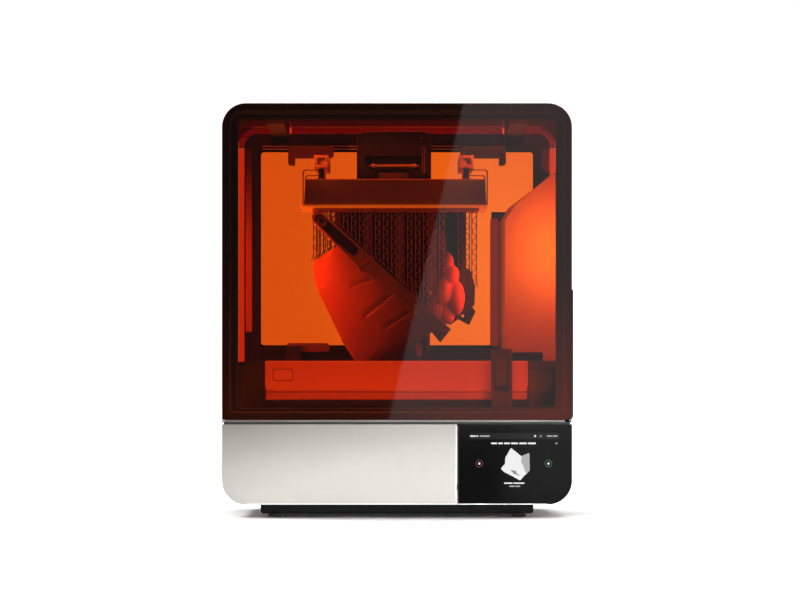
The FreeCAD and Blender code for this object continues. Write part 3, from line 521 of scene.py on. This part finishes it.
def print_tube():
    """The hollow tube at the upper end, with its long oval pocket, and the collar that ends it."""
    outer = tapered(TUBE_END, COLLAR, 11.5, 15.5)
    pocket = tapered(TUBE_END + TUBE_AXIS * 3, COLLAR - TUBE_AXIS * 38, 7.5, 10.5)
    # the tube's back is painted darker as painted shade in the pocket
    made = [print_slab("print_tube", [outer, pocket], 3, 25, print_resin_painted_shade, 1.6),
            print_slab("print_tube_back", [outer], 25, 37, tube_painted_shade, 1.0)]
    side = across(TUBE_AXIS)
    corners = [COLLAR - TUBE_AXIS * 5 + side * 17, COLLAR + TUBE_AXIS * 4 + side * 16,
               COLLAR + TUBE_AXIS * 1 - side * 18, COLLAR - TUBE_AXIS * 8 - side * 17]
    collar = rounded([tuple(c) for c in corners], 1.5)
    made.append(print_slab("print_collar", [collar], 0, 38, print_resin_painted_shade, 1.2))
    cup = tapered(TUBE_END + TUBE_AXIS * 5, TUBE_END + TUBE_AXIS * 13, 6.5, 6.5)
    lining = tapered(TUBE_END + TUBE_AXIS * 6, TUBE_END + TUBE_AXIS * 11, 3.2, 3.6)
    made.append(print_slab("print_socket", [cup, lining], 13, 25, print_resin_painted_shade, 0.6))
    return made


def print_spine():
    """The thick rib from the collar to the pointed lower end."""
    side = across(SPINE_AXIS)
    corners = [COLLAR + side * 14.5, TIP + side * 15 - SPINE_AXIS * 3, TIP - side * 16 - SPINE_AXIS * 1,
               TIP - side * 12 - SPINE_AXIS * 28, COLLAR - side * 14.5]
    spine = rounded([tuple(c) for c in corners], [3, 2, 2, 3, 3])
    channel = [COLLAR + SPINE_AXIS * 16 + side * 9, TIP - SPINE_AXIS * 34 + side * 10,
               TIP - SPINE_AXIS * 26 + side * 7, COLLAR + SPINE_AXIS * 12 + side * 6]
    bead = rounded([tuple(c) for c in channel], 1.2)
    return [print_slab("print_spine", [spine], 7, 33, print_resin_painted_shade, 2.5),
            print_slab("print_spine_bead", [bead], 5.8, 9, print_resin_painted_shade, 0.8)]


def along(points, share):
    """The point at a share of the length of an open (x, z) line."""
    lengths = [(Vector(b) - Vector(a)).length for a, b in zip(points, points[1:])]
    left = share * sum(lengths)
    for (a, b), length in zip(zip(points, points[1:]), lengths):
        if left <= length:
            return Vector(a).lerp(Vector(b), left / length)
        left -= length
    return Vector(points[-1])


BLADE_OUTER = [(-148, 462), (-151.5, 452), (-149, 431), (-142, 408), (-131, 385), (-116, 354), (-98, 316),
               (-76, 282), (-66, 270), (-52, 265), (-36, 267), (-9, 281)]
BLADE_CREASES = ((0.40, -0.18, 0.44), (0.573, -0.03, 0.55), (0.774, -0.13, 0.44))  # place, lean, reach
CREASE_DEPTH = 12.0
CREASE_WIDTH = 0.05      # share of the blade's length


def print_blade():
    """The broad curved blade below the spine, with three sharp creases that fade out towards its edge."""
    rows, columns = 240, 60
    inner_start, inner_end = Vector((-104, 491)), Vector((69, 336))
    points, faces = [], []
    for i in range(rows + 1):
        t = i / rows
        inner = inner_start.lerp(inner_end, t)
        outer = along(BLADE_OUTER, t)
        for j in range(columns + 1):
            s = j / columns
            flat = inner.lerp(outer, s)
            depth = PRINT_FRONT + 8 + 64 * s ** 1.5 + 10 * math.sin(math.pi * t) * s
            for place, lean, reach in BLADE_CREASES:
                fade = CREASE_DEPTH * max(0.0, 1 - s / reach) ** 0.7
                shift = (t - place - lean * s) / CREASE_WIDTH
                if -1 < shift < 0:
                    depth += fade * (1 + shift) ** 1.3
                elif 0 <= shift < 0.2:
                    depth += fade * (1 - shift / 0.2)
            points.append((flat.x * MM, depth * MM, flat.y * MM))
    for i in range(rows):
        for j in range(columns):
            a = i * (columns + 1) + j
            faces.append((a, a + columns + 1, a + columns + 2, a + 1))
    mesh = bpy.data.meshes.new("print_blade")
    mesh.from_pydata(points, [], faces)
    made = piece("print_blade", mesh, print_resin_painted_shade, "platform", 60)
    shell = made.modifiers.new("shell", "SOLIDIFY")
    shell.thickness = 3.0 * MM
    shell.offset = -1.0
    return [settle(made)]


def print_lobes():
    """The second part, behind the first: a cluster of round lobes that run into each other."""
    lobes = ((100, -70, 437, 14, 17, 19), (109, -68, 395, 15, 18, 32), (86, -68, 460, 18, 16, 22),
             (76, -62, 494, 15, 14, 28), (84, -72, 408, 20, 15, 26), (66, -64, 440, 18, 15, 34),
             (74, -62, 380, 20, 14, 30), (92, -64, 364, 14, 13, 17))
    cluster = bmesh.new()
    for x, y, z, *radii in lobes:
        place = Matrix.Translation((x * MM, y * MM, z * MM)) @ Matrix.Diagonal((*(r * MM for r in radii), 1))
        bmesh.ops.create_icosphere(cluster, subdivisions=3, radius=1.0, matrix=place)
    mesh = bpy.data.meshes.new("print_lobes")
    cluster.to_mesh(mesh)
    cluster.free()
    made = piece("print_lobes", mesh, lobe_resin_painted_shade, "platform", 60)
    melt = made.modifiers.new("melt", "REMESH")
    melt.mode = "VOXEL"
    melt.voxel_size = 1.6 * MM
    melt.use_smooth_shade = True
    soften = made.modifiers.new("soften", "SMOOTH")
    soften.iterations = 5
    return [settle(made)]


def print_bracket():
    """The dark angular bracket with its hole, at the right of the second part."""
    outline = rounded([(104, 452), (118, 446), (126, 452), (136, 444), (143, 416), (142, 384), (138, 379),
                       (144, 371), (132, 346), (112, 357), (96, 345)], 1.2)
    hole = circle(120.5, 363, 2.7, 20)
    return [print_slab("print_bracket", [outline, hole], 81, 91, bracket_dark, 0.8)]


def support_foot(x, rear):
    """Height at which a support at x, in front of the rib or behind it, meets the parts."""
    edge = 471 - 0.905 * (x + 50)            # upper edge of the rib
    if not rear:
        return edge + 2
    if x < -104:
        return 463 + 0.66 * max(0.0, x + 148)
    return max(431, edge - 24) if x < 62 else 416


def support_row(y, first, last, offset, pair, period, zigzag, radius, rear):
    """One row of pillar pairs with zigzag bracing between them, from the raft down to the parts."""
    raft_low, foot_rise = SHEET_LOW - 6, 8
    rods = []
    left = first + offset
    while left + pair <= last:
        feet = [support_foot(x, rear) for x in (left, left + pair)]
        for x, foot in zip((left, left + pair), feet):
            top, ankle = Vector((x, y, raft_low)), Vector((x, y, foot + foot_rise))
            rods.append((top, Vector((x, y, SHEET_LOW - 2)), radius, 2.0))
            rods.append((ankle, top, radius, radius))
            for lean in (-3.5, 3.5):
                rods.append((Vector((x + lean, y, foot - 2)), ankle, radius * 0.5, radius))
        z, step = SHEET_LOW - 10, 0
        while z - zigzag > max(feet) + 6:
            ends = (left, left + pair) if step % 2 else (left + pair, left)
            top, bottom = Vector((ends[0], y, z)), Vector((ends[1], y, z - zigzag))
            rods.append((top, bottom, radius * 0.8, radius * 0.8))
            z -= zigzag
            step += 1
        left += period
    return rods


def print_supports():
    """Lit pillars along the rib in front, ones behind them painted dimmer as painted shade, and a dense stand
    at the back painted dark as painted shade.
    """
    front = support_row(-128, -126, 95, 0.0, 8.0, 14.5, 8.5, 0.75, False)
    front += support_row(-118, -126, 95, 10.5, 8.0, 58.0, 8.5, 0.6, False)
    middle = support_row(-98, -152, -108, 0.0, 8.0, 11.0, 8.5, 0.85, True)
    middle += support_row(-90, -147, -108, 0.0, 8.0, 13.0, 8.5, 0.85, True)
    middle += support_row(-60, 112, 147, 0.0, 8.5, 12.5, 9.5, 0.95, True)
    back = []
    for i in range(4):
        back += support_row(-50 + 5 * i, -112, 126, 1.7 * i, 3.4, 6.8, 9.5, 1.1, True)
    made = []
    for name, rods, material in (("front", front, support_resin), ("middle", middle, support_painted_half_shade),
                                 ("back", back, support_painted_shade)):
        mesh = rods_mesh("print_supports_" + name, rods)
        made.append(piece("print_supports_" + name, mesh, material, "platform"))
    return made


def print_raft():
    """The thin raft on the sheet, with a bevelled edge and drainage slots."""
    outline = rectangle(-153, 149, -142, -30, 6)
    slots = []
    for i in range(14):
        x = -140 + 21 * i
        for z in (-120, -86, -52):
            slots.append(rectangle(x, x + 9, z - 10, z + 10, 4))
    mesh = slab_mesh([outline] + slots, -1.6, 1.6, 0.6)
    mesh.transform(Matrix.Translation((0, 0, (SHEET_LOW - 1.8) * MM)) @ Matrix.Rotation(-math.pi / 2, 4, "X"))
    return [piece("print_raft", mesh, support_resin, "platform")]


def add_print():
    made = print_tube() + print_spine() + print_blade() + print_lobes() + print_bracket()
    made += print_supports() + print_raft()
    for part in made:
        rides_with_print(part)
    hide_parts("hanging_print")


# --- touch display ------------------------------------------------------------------------------
WORD_LIFT = 0.03


def screen_piece(name, outlines, material, lift=0.0):
    """A flat lit shape on the display glass; lift puts it in front of others, in mm."""
    front = FRONT - 0.12 - lift
    made = slab("screen_" + name, outlines, front, front + 0.1, material, 0.02)
    made.data.shade_flat()


def word_bars(name, x, z, height, widths, material, gap=1.2):
    """A line of plain rounded bars where the display shows words."""
    outlines = []
    for width in widths:
        outlines.append(rectangle(x, x + width, z - height / 2, z + height / 2, height * 0.35))
        x += width + gap
    screen_piece(name, outlines, material, WORD_LIFT)


def ring(x, z, radius, width):
    return [circle(x, z, radius, 40), circle(x, z, radius - width, 40)]


def close_mark(x, z):
    """The two bars of a small cross."""
    bars = []
    for turn in (45, -45):
        c, s = math.cos(math.radians(turn)), math.sin(math.radians(turn))
        bar = [(-1.9, -0.3), (1.9, -0.3), (1.9, 0.3), (-1.9, 0.3)]
        bars.append([(x + c * along_bar - s * off, z + s * along_bar + c * off) for along_bar, off in bar])
    return bars


def add_display():
    """Every place is measured from the display module's top left corner."""
    low, high = box_mm("display_module")
    left, top = low.x, high.z
    header = rectangle(left + 5.5, high.x - 5, top - 20.5, top - 9, 1)
    header_z, question_z, answer_z = top - 14.8, top - 27.6, top - 63.4
    screen_piece("header", [header], screen_bar)
    word_bars("name", left + 7.5, header_z, 2.6, (9.5, 3.6), screen_white)
    word_bars("title_small", left + 24.5, header_z, 2.4, (17.5,), screen_grey)
    word_bars("state", left + 143.5, header_z, 2.4, (8.5, 8.5), screen_grey, 1.4)
    screen_piece("status_dot", [circle(left + 122.4, header_z, 1.8, 24)], screen_white, WORD_LIFT)
    screen_piece("status_ring", ring(left + 132.6, header_z, 1.6, 0.7), screen_grey, WORD_LIFT)
    word_bars("question", left + 44.6, question_z, 3.0, (10.6, 8.2, 10.4, 12.4, 13.4, 14.2),
              screen_white, 2.0)
    cross = close_mark(left + 160.3, question_z - 0.1)
    screen_piece("close_a", cross[:1], screen_white)
    screen_piece("close_b", cross[1:], screen_white, 0.02)
    for name, x, material in (("no", left + 23.8, screen_red), ("yes", left + 146.2, screen_green)):
        screen_piece(name + "_ring", ring(x, answer_z, 6.3, 0.5), material)
        screen_piece(name + "_mark", [circle(x, answer_z, 2.0, 24)], screen_white)
    word_bars("caption", left + 67.5, top - 98.1, 2.4, (15.2, 19.4), screen_white, 1.6)
    word_bars("caption_small", left + 77, top - 103.6, 2.3, (9.6, 8.2), screen_grey)
    add_model_picture(left + 83, top - 64.5)


def add_model_picture(x, z):
    """A small plain picture of a print on the display, in three shades, about its middle."""
    sheet = rounded([(x - 14, z - 3), (x - 13.4, z + 11), (x - 3.4, z + 29), (x + 15.5, z + 14),
                     (x + 13, z - 14), (x - 8, z - 14)], [3, 5, 2, 2, 3, 3])
    wing = rounded([(x + 14.5, z + 14), (x + 29.5, z + 20.5), (x + 30, z - 11), (x + 22, z - 20),
                    (x + 10, z - 16)], [1, 2, 3, 3, 2])
    base = rounded([(x - 21.5, z - 8), (x - 13, z + 2), (x + 16, z + 2.5), (x + 24, z - 16), (x + 13, z - 29),
                    (x - 1, z - 21), (x - 15, z - 14)], [3, 4, 3, 3, 3, 3, 2])
    slot = rounded([(x - 6, z - 10), (x + 1, z - 11), (x + 14, z - 21), (x + 8, z - 19)], 1)
    screen_piece("picture_wing", [wing], screen_grey)
    screen_piece("picture_sheet", [sheet], screen_white, 0.02)
    screen_piece("picture_base", [base], screen_white, 0.04)
    screen_piece("picture_slot", [slot], screen_shade, 0.06)
    screen_piece("picture_ring", ring(x + 3.2, z - 14.6, 3.2, 1.5), screen_shade, 0.08)
    dots = []
    for i in range(4):
        for j in range(9):
            dots.append(circle(x + 18.5 + 2.6 * i + 0.9 * (j % 2), z + 12 - 3.1 * j, 0.55, 8))
    screen_piece("picture_dots", dots, screen_shade, 0.06)


# --- small hardware -----------------------------------------------------------------------------
def add_trim_sensor():
    """The black block that closes the silver trim at its right end."""
    trim_low, trim_high = box_mm("trim_strip")
    side = box_mm("display_glass")[1].x
    outline = rectangle(trim_high.x + 0.4, side - 0.8, trim_low.z + 0.1, trim_high.z, 0.5)
    slab("cover_sensor", [outline], FRONT + 0.1, FRONT + 8, black_gloss)


def add_panel_edges():
    """Painted highlights along the edges of the light panel: beside the display and along the bottom."""
    low, high = box_mm("front_panel")
    upright = rectangle(high.x - 2.0, high.x - 0.2, low.z + 0.5, high.z - 0.5, 0.4)
    slab("panel_edge_side", [upright], low.y - 0.25, low.y + 0.3, edge_painted_highlight, 0.1)
    right = box_mm("display_glass")[1].x
    bottom = rectangle(low.x + 42, right - 42, low.z + 0.1, low.z + 1.5, 0.3)
    slab("panel_edge_bottom", [bottom], low.y - 0.25, low.y + 0.3, edge_painted_highlight, 0.1)


def add_lead_screw():
    """The lead screw with its four-start thread, instead of the plain shaft."""
    low, high = box_mm("lead_screw")
    x, y = (low.x + high.x) / 2, (low.y + high.y) / 2
    outer, depth, pitch, lead, steps = 7.0, 1.0, 5.0, 20.0, 24
    shaft_low, thread_low, rise = 170.0, 190.0, 0.625
    count = int((high.z - thread_low) / rise)
    rings = []
    for z in [shaft_low, shaft_low + 2] + [thread_low + rise * i for i in range(count + 1)]:
        points = []
        for k in range(steps):
            phase = ((z - lead * k / steps) / pitch) % 1.0
            groove = depth if 0.5 < phase < 0.95 else 0.0
            radius = outer - (groove if z >= thread_low else 0.6)
            points.append(around(x, y, z, radius, k / steps))
        rings.append(points)
    screw = piece("threaded_screw", ringed_mesh("threaded_screw", rings), dark_steel, "screw")
    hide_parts("lead_screw")
    profile = ((0.5, 0), (11, 0), (12, 1), (12, 5.8), (11.2, 6.4), (12, 7), (12, 12), (11, 13), (0.5, 13))
    rings = [[around(x, y, low.z + z, radius, k / 32) for k in range(32)] for radius, z in profile]
    piece("screw_coupling", ringed_mesh("screw_coupling", rings), dark_steel, "screw")


def add_rail_bolts():
    """Counterbored bolts along both guide rails."""
    low, high = box_mm("linear_rails")
    bolts = []
    for x in (low.x + 6, high.x - 6):
        z = low.z + 15
        while z < high.z:
            bolts.append(bolt(x, z, low.y - 0.35, low.y + 2, 3.4, 3.6))
            z += 60
    piece("rail_bolts", rods_mesh("rail_bolts", bolts, 20), head_cast, "chassis")


def add_head_details():
    """Screws, and a thin cover line on the carriage head painted pale as painted glints round its slit."""
    low, high = box_mm("carriage_head")
    front = low.y
    screws = []
    for x, z in ((low.x + 14, low.z + 10), (high.x - 14, low.z + 10), (low.x + 22, high.z - 12),
                 (high.x - 18, high.z - 12)):
        screws.append(bolt(x, z, front - 0.8, front + 1, 2.4, 2.6))
    piece("head_screws", rods_mesh("head_screws", screws, 18), dark_steel, "carriage")
    trim = [rectangle(high.x - 16.5, high.x - 11, low.z + 21, high.z - 29, 2),
            rectangle(high.x - 15.5, high.x - 12, low.z + 22, high.z - 30, 1.5)]
    slab("head_slit_trim", trim, front - 0.6, front + 1, handle_grey, 0.25, "carriage")
    nubs = []
    bail_low, bail_high = box_mm("platform_lock_bail")
    for x in (bail_low.x + 12, bail_high.x - 12):
        y, z = bail_low.y + 2.3, (bail_low.z + bail_high.z) / 2
        nubs.append((Vector((x - 2.6, y, z)), Vector((x + 2.6, y, z)), 3.6, 3.6))
    # the nubs are painted near white as painted highlights
    piece("bail_nubs", rods_mesh("bail_nubs", nubs, 20), steel_painted_highlight, "lock_bail")


def add_rail_tab():
    """The upright tab with a hole on the mixer rail."""
    rail_low, rail_high = box_mm("mixer_rail")
    tab = rectangle(35.5, 47.5, rail_high.z - 8, rail_high.z + 16, 3)
    slab("rail_tab", [tab, circle(41.5, rail_high.z + 10.5, 2.2, 20)], rail_low.y - 0.6, rail_low.y + 1.6,
         latch_grey)


def wall_slab(name, outline, proud, material, bevel):
    """A strip on the front of the rear wall that stands proud of it, in mm."""
    front = box_mm("rear_wall_frame")[0].y
    slab(name, [outline], front - proud, front + 0.5, material, bevel)


def add_wall_details():
    """Ridges painted as highlights and ledges above and below the window, and painted light on the edges at
    the sides and on the bay's flank.
    """
    wall_low, wall_high = box_mm("rear_wall_frame")
    hole_low, hole_high = box_mm("rear_window_gasket")
    bay_low, bay_high = box_mm("cartridge_bay_housing")
    strip_top = box_mm("rear_window")[1].z
    ridge_end, ledge_end, edge_low = 120, 180, 338
    # the two ridges above the window are painted highlights
    for name, z0, z1 in (("upper", 7.2, 8.8), ("lower", 1.4, 3.2)):
        ridge = rectangle(hole_low.x + 6, ridge_end, hole_high.z + z0, hole_high.z + z1, 0.6)
        wall_slab("wall_ridge_" + name, ridge, 1.0, edge_painted_highlight, 0.3)
    for name, z0, z1 in (("upper", 6.6, 4.4), ("lower", 12.0, 10.4)):
        ledge = rectangle(hole_low.x + 2, ledge_end, hole_low.z - z0, hole_low.z - z1, 0.8)
        wall_slab("wall_ledge_" + name, ledge, 6, dark_cast, 0.5)
    # painted light on the wall's side edges, with painted shade towards their tops
    left = rectangle(wall_low.x + 2.6, wall_low.x + 15.6, edge_low, strip_top, 5)
    right = rectangle(wall_high.x - 16.6, wall_high.x - 0.2, bay_high.z + 4, strip_top, 6)
    wall_slab("wall_edge_left", left, 5, painted_edge_glow, 2.5)
    wall_slab("wall_edge_right", right, 5, painted_edge_glow, 2.5)
    # painted light: the bay's flank is a glowing red strip
    flank = rectangle(bay_low.x - 15.1, bay_low.x + 0.4, hole_low.z + 1.4, SHEET_LOW, 3)
    wall_slab("bay_flank", flank, 3, flank_painted_glow, 1.0)


def add_notch_lips():
    """Rubber lips that line the wall's notches round the cover's hinge arms."""
    wall_low, wall_high = box_mm("rear_wall_frame")
    left, right, bottom, top = 203.7, 240.3, 692.7, 718.5
    side, floor = 1.9, 1.0
    outer = [(left, top), (left, bottom), (right, bottom), (right, top)]
    inner = [(right - side, top), (right - side, bottom + floor), (left + side, bottom + floor),
             (left + side, top)]
    front, back = wall_low.y + 1, wall_high.y - 1
    for name, outline in (("left", mirrored(outer + inner)), ("right", outer + inner)):
        slab("notch_lip_" + name, [outline], front, back, rubber, 0.1)


def add_tower_bosses():
    """The two round bosses at the top of the tower's front, painted pale as painted glints."""
    tower_low, tower_high = box_mm("tower_housing")
    bosses = []
    for x in (tower_low.x + 23, tower_high.x - 22):
        bosses.append(bolt(x, tower_high.z - 4, tower_low.y - 1.2, tower_low.y + 3, 3.0, 3.2))
    piece("tower_bosses", rods_mesh("tower_bosses", bosses, 18), handle_grey, "chassis")


def add_tank_front():
    """The tank's rim, painted pale as a painted highlight, and the ledge along its front."""
    low, high = box_mm("tank_body")
    rim = rectangle(low.x + 1, high.x - 1, high.z - 2.2, high.z - 0.2, 0.8)
    slab("tank_rim_painted_highlight", [rim], low.y - 0.8, low.y + 0.6, tank_rim_painted_highlight, 0.3)
    ledge = rectangle(low.x + 1, high.x - 1, low.z + 12.8, low.z + 14.0, 0.5)
    slab("tank_ledge", [ledge], low.y - 0.9, low.y + 0.6, tank_line, 0.3)


def add_carrier_ends():
    """The dark left end of the tank's carrier and the paler faces of its right end."""
    high = box_mm("tank_body")[1]
    carrier_low, carrier_high = box_mm("tank_carrier")
    side = box_mm("cover_shell")[0].x + 22
    wing = rectangle(side, carrier_low.x + 1, carrier_low.z + 0.5, high.z - 1.5, 2)
    y = carrier_low.y
    slab("carrier_wing", [wing], y + 1, y + 30, dark_cast, 0.8)
    start, end = high.x + 1.5, carrier_high.x - 2
    faces = [rectangle(start, end, high.z - 13, high.z - 2, 1),
             rectangle(start, end - 6, carrier_low.z + 2, high.z - 14.5, 1)]
    slab("carrier_face", faces, y - 0.6, y + 0.4, latch_grey, 0.3)


def add_latch_details():
    """The seam round the latch lever and the slot at its lower end."""
    low, high = box_mm("tank_latch_lever")
    left, right, bottom, top = low.x - 2.2, high.x + 2.6, low.z - 12, high.z - 0.6
    line = 1.3
    seam = [rounded(rectangle(left, right, bottom, top), [2, 2, 11, 11]),
            rounded(rectangle(left + line, right - line, bottom + line, top - line), [1.5, 1.5, 9.8, 9.8])]
    slot = rectangle(left + 2.5, right - 2.4, bottom + 1.5, bottom + 5.5, 0.8)
    slab("latch_inset", seam, low.y - 0.5, low.y + 0.5, arm_black, 0.2, "latch")
    slab("latch_slot", [slot], low.y - 0.4, low.y + 0.5, arm_black, 0.2, "latch")


def add_tank_mark():
    """The raised outline of the level mark on the tank's front."""
    low = box_mm("tank_body")[0]
    left, right, bottom, top = low.x + 13.5, low.x + 49.5, low.z + 33.2, low.z + 54.8
    line = 1.2
    mark = [rectangle(left, right, bottom, top, 5),
            rectangle(left + line, right - line, bottom + line, top - line, 4)]
    slab("tank_mark", mark, low.y - 0.5, low.y + 0.3, tank_line, 0.2)


def add_wall_shades():
    """Dark amber strips that close the gap between the rear wall's top corners and the cover, as painted
    shade.
    """
    window_low, window_high = box_mm("rear_window")
    top = box_mm("cover_shell")[1].z - 4.3
    side, bottom = window_low.x, window_high.z + 0.5
    wall_top, wall_side, notch_outside, notch_inside = 714, -276, -241.5, -202.5
    corner = rounded([(side, bottom), (side, top), (notch_outside, top), (notch_outside, wall_top),
                      (wall_side, wall_top), (wall_side, bottom)], [0, 35, 0, 0, 4, 0])
    middle = rectangle(notch_inside, -notch_inside, wall_top, top)
    back = box_mm("rear_wall_frame")[1].y
    for name, outline in (("left", corner), ("right", mirrored(corner)), ("middle", middle)):
        slab("wall_painted_shade_" + name, [outline], back - 9, back - 6, painted_shade_amber, 0.2)


def add_cover_border():
    """The narrow band and bead that show inside the cover's dark border."""
    low, high = box_mm("cover_front_frame")

    def inset(side, bottom, top, low_radius, high_radius):
        outline = rectangle(low.x + side, high.x - side, low.z + bottom, high.z - top)
        return rounded(outline, [low_radius, low_radius, high_radius, high_radius])

    band = [inset(12.5, 11.5, 12, 8, 31), inset(15.5, 14.5, 21, 6, 24)]
    bead = [inset(25.5, 19, 25.5, 12, 12), inset(27.5, 21, 27.5, 10, 10)]
    slab("border_band", band, low.y - 0.4, low.y + 0.1, frame_band, 0.1, "cover")
    slab("border_bead", bead, low.y - 0.6, low.y + 0.2, frame_bead, 0.2, "cover")


def add_rear_details():
    """Labels without words on the cartridges and a blank plate by the inlet."""
    for name, body in (("cartridge_left", "cartridge_a"), ("cartridge_right", "cartridge_b")):
        low, high = box_mm(name)
        label = rectangle(low.x + 6, high.x - 6, high.z - 80, high.z - 20, 2)
        plate = slab_mesh([label], high.y - 0.1, high.y + 0.3, 0.1)
        piece(name + "_label", plate, light_paint, body)
    back = box_mm("rear_panel")[1].y
    plate = rectangle(-120, -70, 110, 140, 1.5)
    slab("rating_plate", [plate], back - 0.1, back + 0.3, silver, 0.1)


add_print()
add_display()
add_trim_sensor()
add_panel_edges()
add_lead_screw()
add_rail_bolts()
add_head_details()
add_rail_tab()
add_wall_details()
add_notch_lips()
add_tower_bosses()
add_tank_front()
add_carrier_ends()
add_latch_details()
add_tank_mark()
add_wall_shades()
add_cover_border()
add_rear_details()


# --- stage --------------------------------------------------------------------------------------
CAMERA_DISTANCE = 6.0
CARD_DISTANCE = 8.0


def floor_material():
    """Pale and matt near the machine, and evenly bright far away, like a lit studio sweep."""
    g = material_graph("pale_floor")
    distance = g.node("VectorMath", {0: g.position()}, operation="LENGTH").outputs["Value"]
    shader = g.node("BsdfPrincipled", {
        "Base Color": g.blend(g.noise(3.0), (0.90, 0.90, 0.90), (0.93, 0.93, 0.93)),
        "Roughness": 0.7,
        "Emission Color": (1, 1, 1, 1),
        "Emission Strength": g.spread(distance, 0.0, 1.0, 0.31, 0.55)})
    return g.finish(shader.outputs["BSDF"])


def flat_mesh(name, corners, material):
    mesh = bpy.data.meshes.new(name)
    mesh.from_pydata(corners, [], [tuple(range(len(corners)))])
    made = bpy.data.objects.new(name, mesh)
    scene.collection.objects.link(made)
    mesh.materials.append(material)
    return made


def add_floor():
    floor = flat_mesh("floor", [(-40, -12, 0), (40, -12, 0), (40, 60, 0), (-40, 60, 0)], floor_material())
    floor.visible_glossy = False
    floor.visible_diffuse = False


def reflection_card(name, bottom_left, top_left, radiance):
    """A bright card behind the camera that only the glossy front reflects; its (x, z) left edge may lean."""
    y, right = FRONT * MM - CARD_DISTANCE, 3.2
    corners = [(bottom_left[0], y, bottom_left[1]), (right, y, bottom_left[1]),
               (right, y, top_left[1]), (top_left[0], y, top_left[1])]
    g = material_graph(name)
    light = g.node("Emission", {"Color": (1, 1, 1, 1), "Strength": radiance})
    card = flat_mesh(name, corners, g.finish(light.outputs["Emission"]))
    card.visible_camera = False
    card.visible_diffuse = False
    card.visible_transmission = False
    card.visible_shadow = False


def area_light(name, place, target, size, radiance, spread=180.0, glossy=True, colour=(1, 1, 1)):
    data = bpy.data.lights.new(name, "AREA")
    data.color = colour
    data.shape = "RECTANGLE"
    data.size, data.size_y = size
    data.energy = radiance * math.pi * size[0] * size[1]
    data.spread = math.radians(spread)
    lamp = bpy.data.objects.new(name, data)
    lamp.location = place
    lamp.rotation_euler = (Vector(target) - Vector(place)).to_track_quat("-Z", "Y").to_euler()
    lamp.visible_camera = False
    lamp.visible_glossy = glossy
    scene.collection.objects.link(lamp)


def add_world():
    """White behind the machine, brightest at its middle; as a light, bright behind it and dim in front."""
    g = Graph(bpy.data.worlds.new("studio"), "OutputWorld")
    direction = g.node("TexCoord").outputs["Generated"]
    depth = g.node("SeparateXYZ", {"Vector": direction}).outputs["Y"]
    studio = g.node("Background", {
        "Color": (1, 1, 1, 1),
        "Strength": g.spread(depth, 0.09, 1.0, -0.15, 0.6, "SMOOTHSTEP")})
    offset = g.node("VectorMath", {0: direction, 1: (0.032, 1.0, 0.040)}, operation="DISTANCE")
    glow = g.spread(offset.outputs["Value"], 0.0, 1.0, 0.0, 0.07, "SMOOTHSTEP")
    white = g.node("Background", {"Color": g.blend(glow, (1.50, 2.15, 2.15), (1.12, 1.12, 1.12))})
    seen = g.node("LightPath").outputs["Is Camera Ray"]
    mixed = g.mix_shaders(seen, studio.outputs["Background"], white.outputs["Background"])
    scene.world = g.finish(mixed)


def add_lights():
    add_world()
    area_light("top_softbox", (0.2, 0.1, 2.6), (0, 0, 0), (2.4, 2.0), 4.2)
    area_light("left_glow", (-0.54, -0.10, 0.46), (-0.13, -0.06, 0.46), (0.10, 0.30), 52.0, 150, False)
    area_light("right_glow", (0.52, -0.02, 0.50), (0.27, 0.106, 0.50), (0.10, 0.14), 80.0, 140, False)
    area_light("bay_glow", (0.285, 0.015, 0.49), (0.272, 0.106, 0.49), (0.02, 0.12), 28.0, 150, False,
               (1, 0.55, 0.12))
    area_light("lobe_glow", (0.20, -0.13, 0.44), (0.09, -0.07, 0.42), (0.04, 0.10), 6.0, 120, False,
               (1, 0.17, 0.04))
    for name, x, aim in (("handle_glow_left", -0.21, -0.137), ("handle_glow_right", 0.20, 0.128)):
        area_light(name, (x, -0.215, 0.685), (aim, -0.165, 0.641), (0.03, 0.03), 11.0, 60, False,
                   (1, 0.30, 0.10))
    area_light("panel_fill", (0.95, -1.45, 0.12), (0.0, -0.26, 0.06), (0.9, 0.2), 1.9, 30)
    area_light("low_fill", (-0.02, -0.52, 0.013), (0.0, -0.26, 0.09), (1.0, 0.02), 12.0, 90, False)
    reflection_card("pane_card", (-0.036, 0.105), (0.386, 1.9), 0.85)
    reflection_card("screen_card", (0.434, -0.24), (0.4935, 0.096), 0.42)


def add_camera():
    data = bpy.data.cameras.new("camera")
    data.sensor_width = 36.0
    data.lens = 152.5
    data.shift_x = 0.00375
    data.shift_y = 0.11875
    camera = bpy.data.objects.new("camera", data)
    camera.location = (0, FRONT * MM - CAMERA_DISTANCE, 0.218)
    camera.rotation_euler = (math.pi / 2, 0, 0)
    scene.collection.objects.link(camera)
    scene.camera = camera


scene.view_settings.view_transform = "Standard"
add_floor()
add_lights()
add_camera()
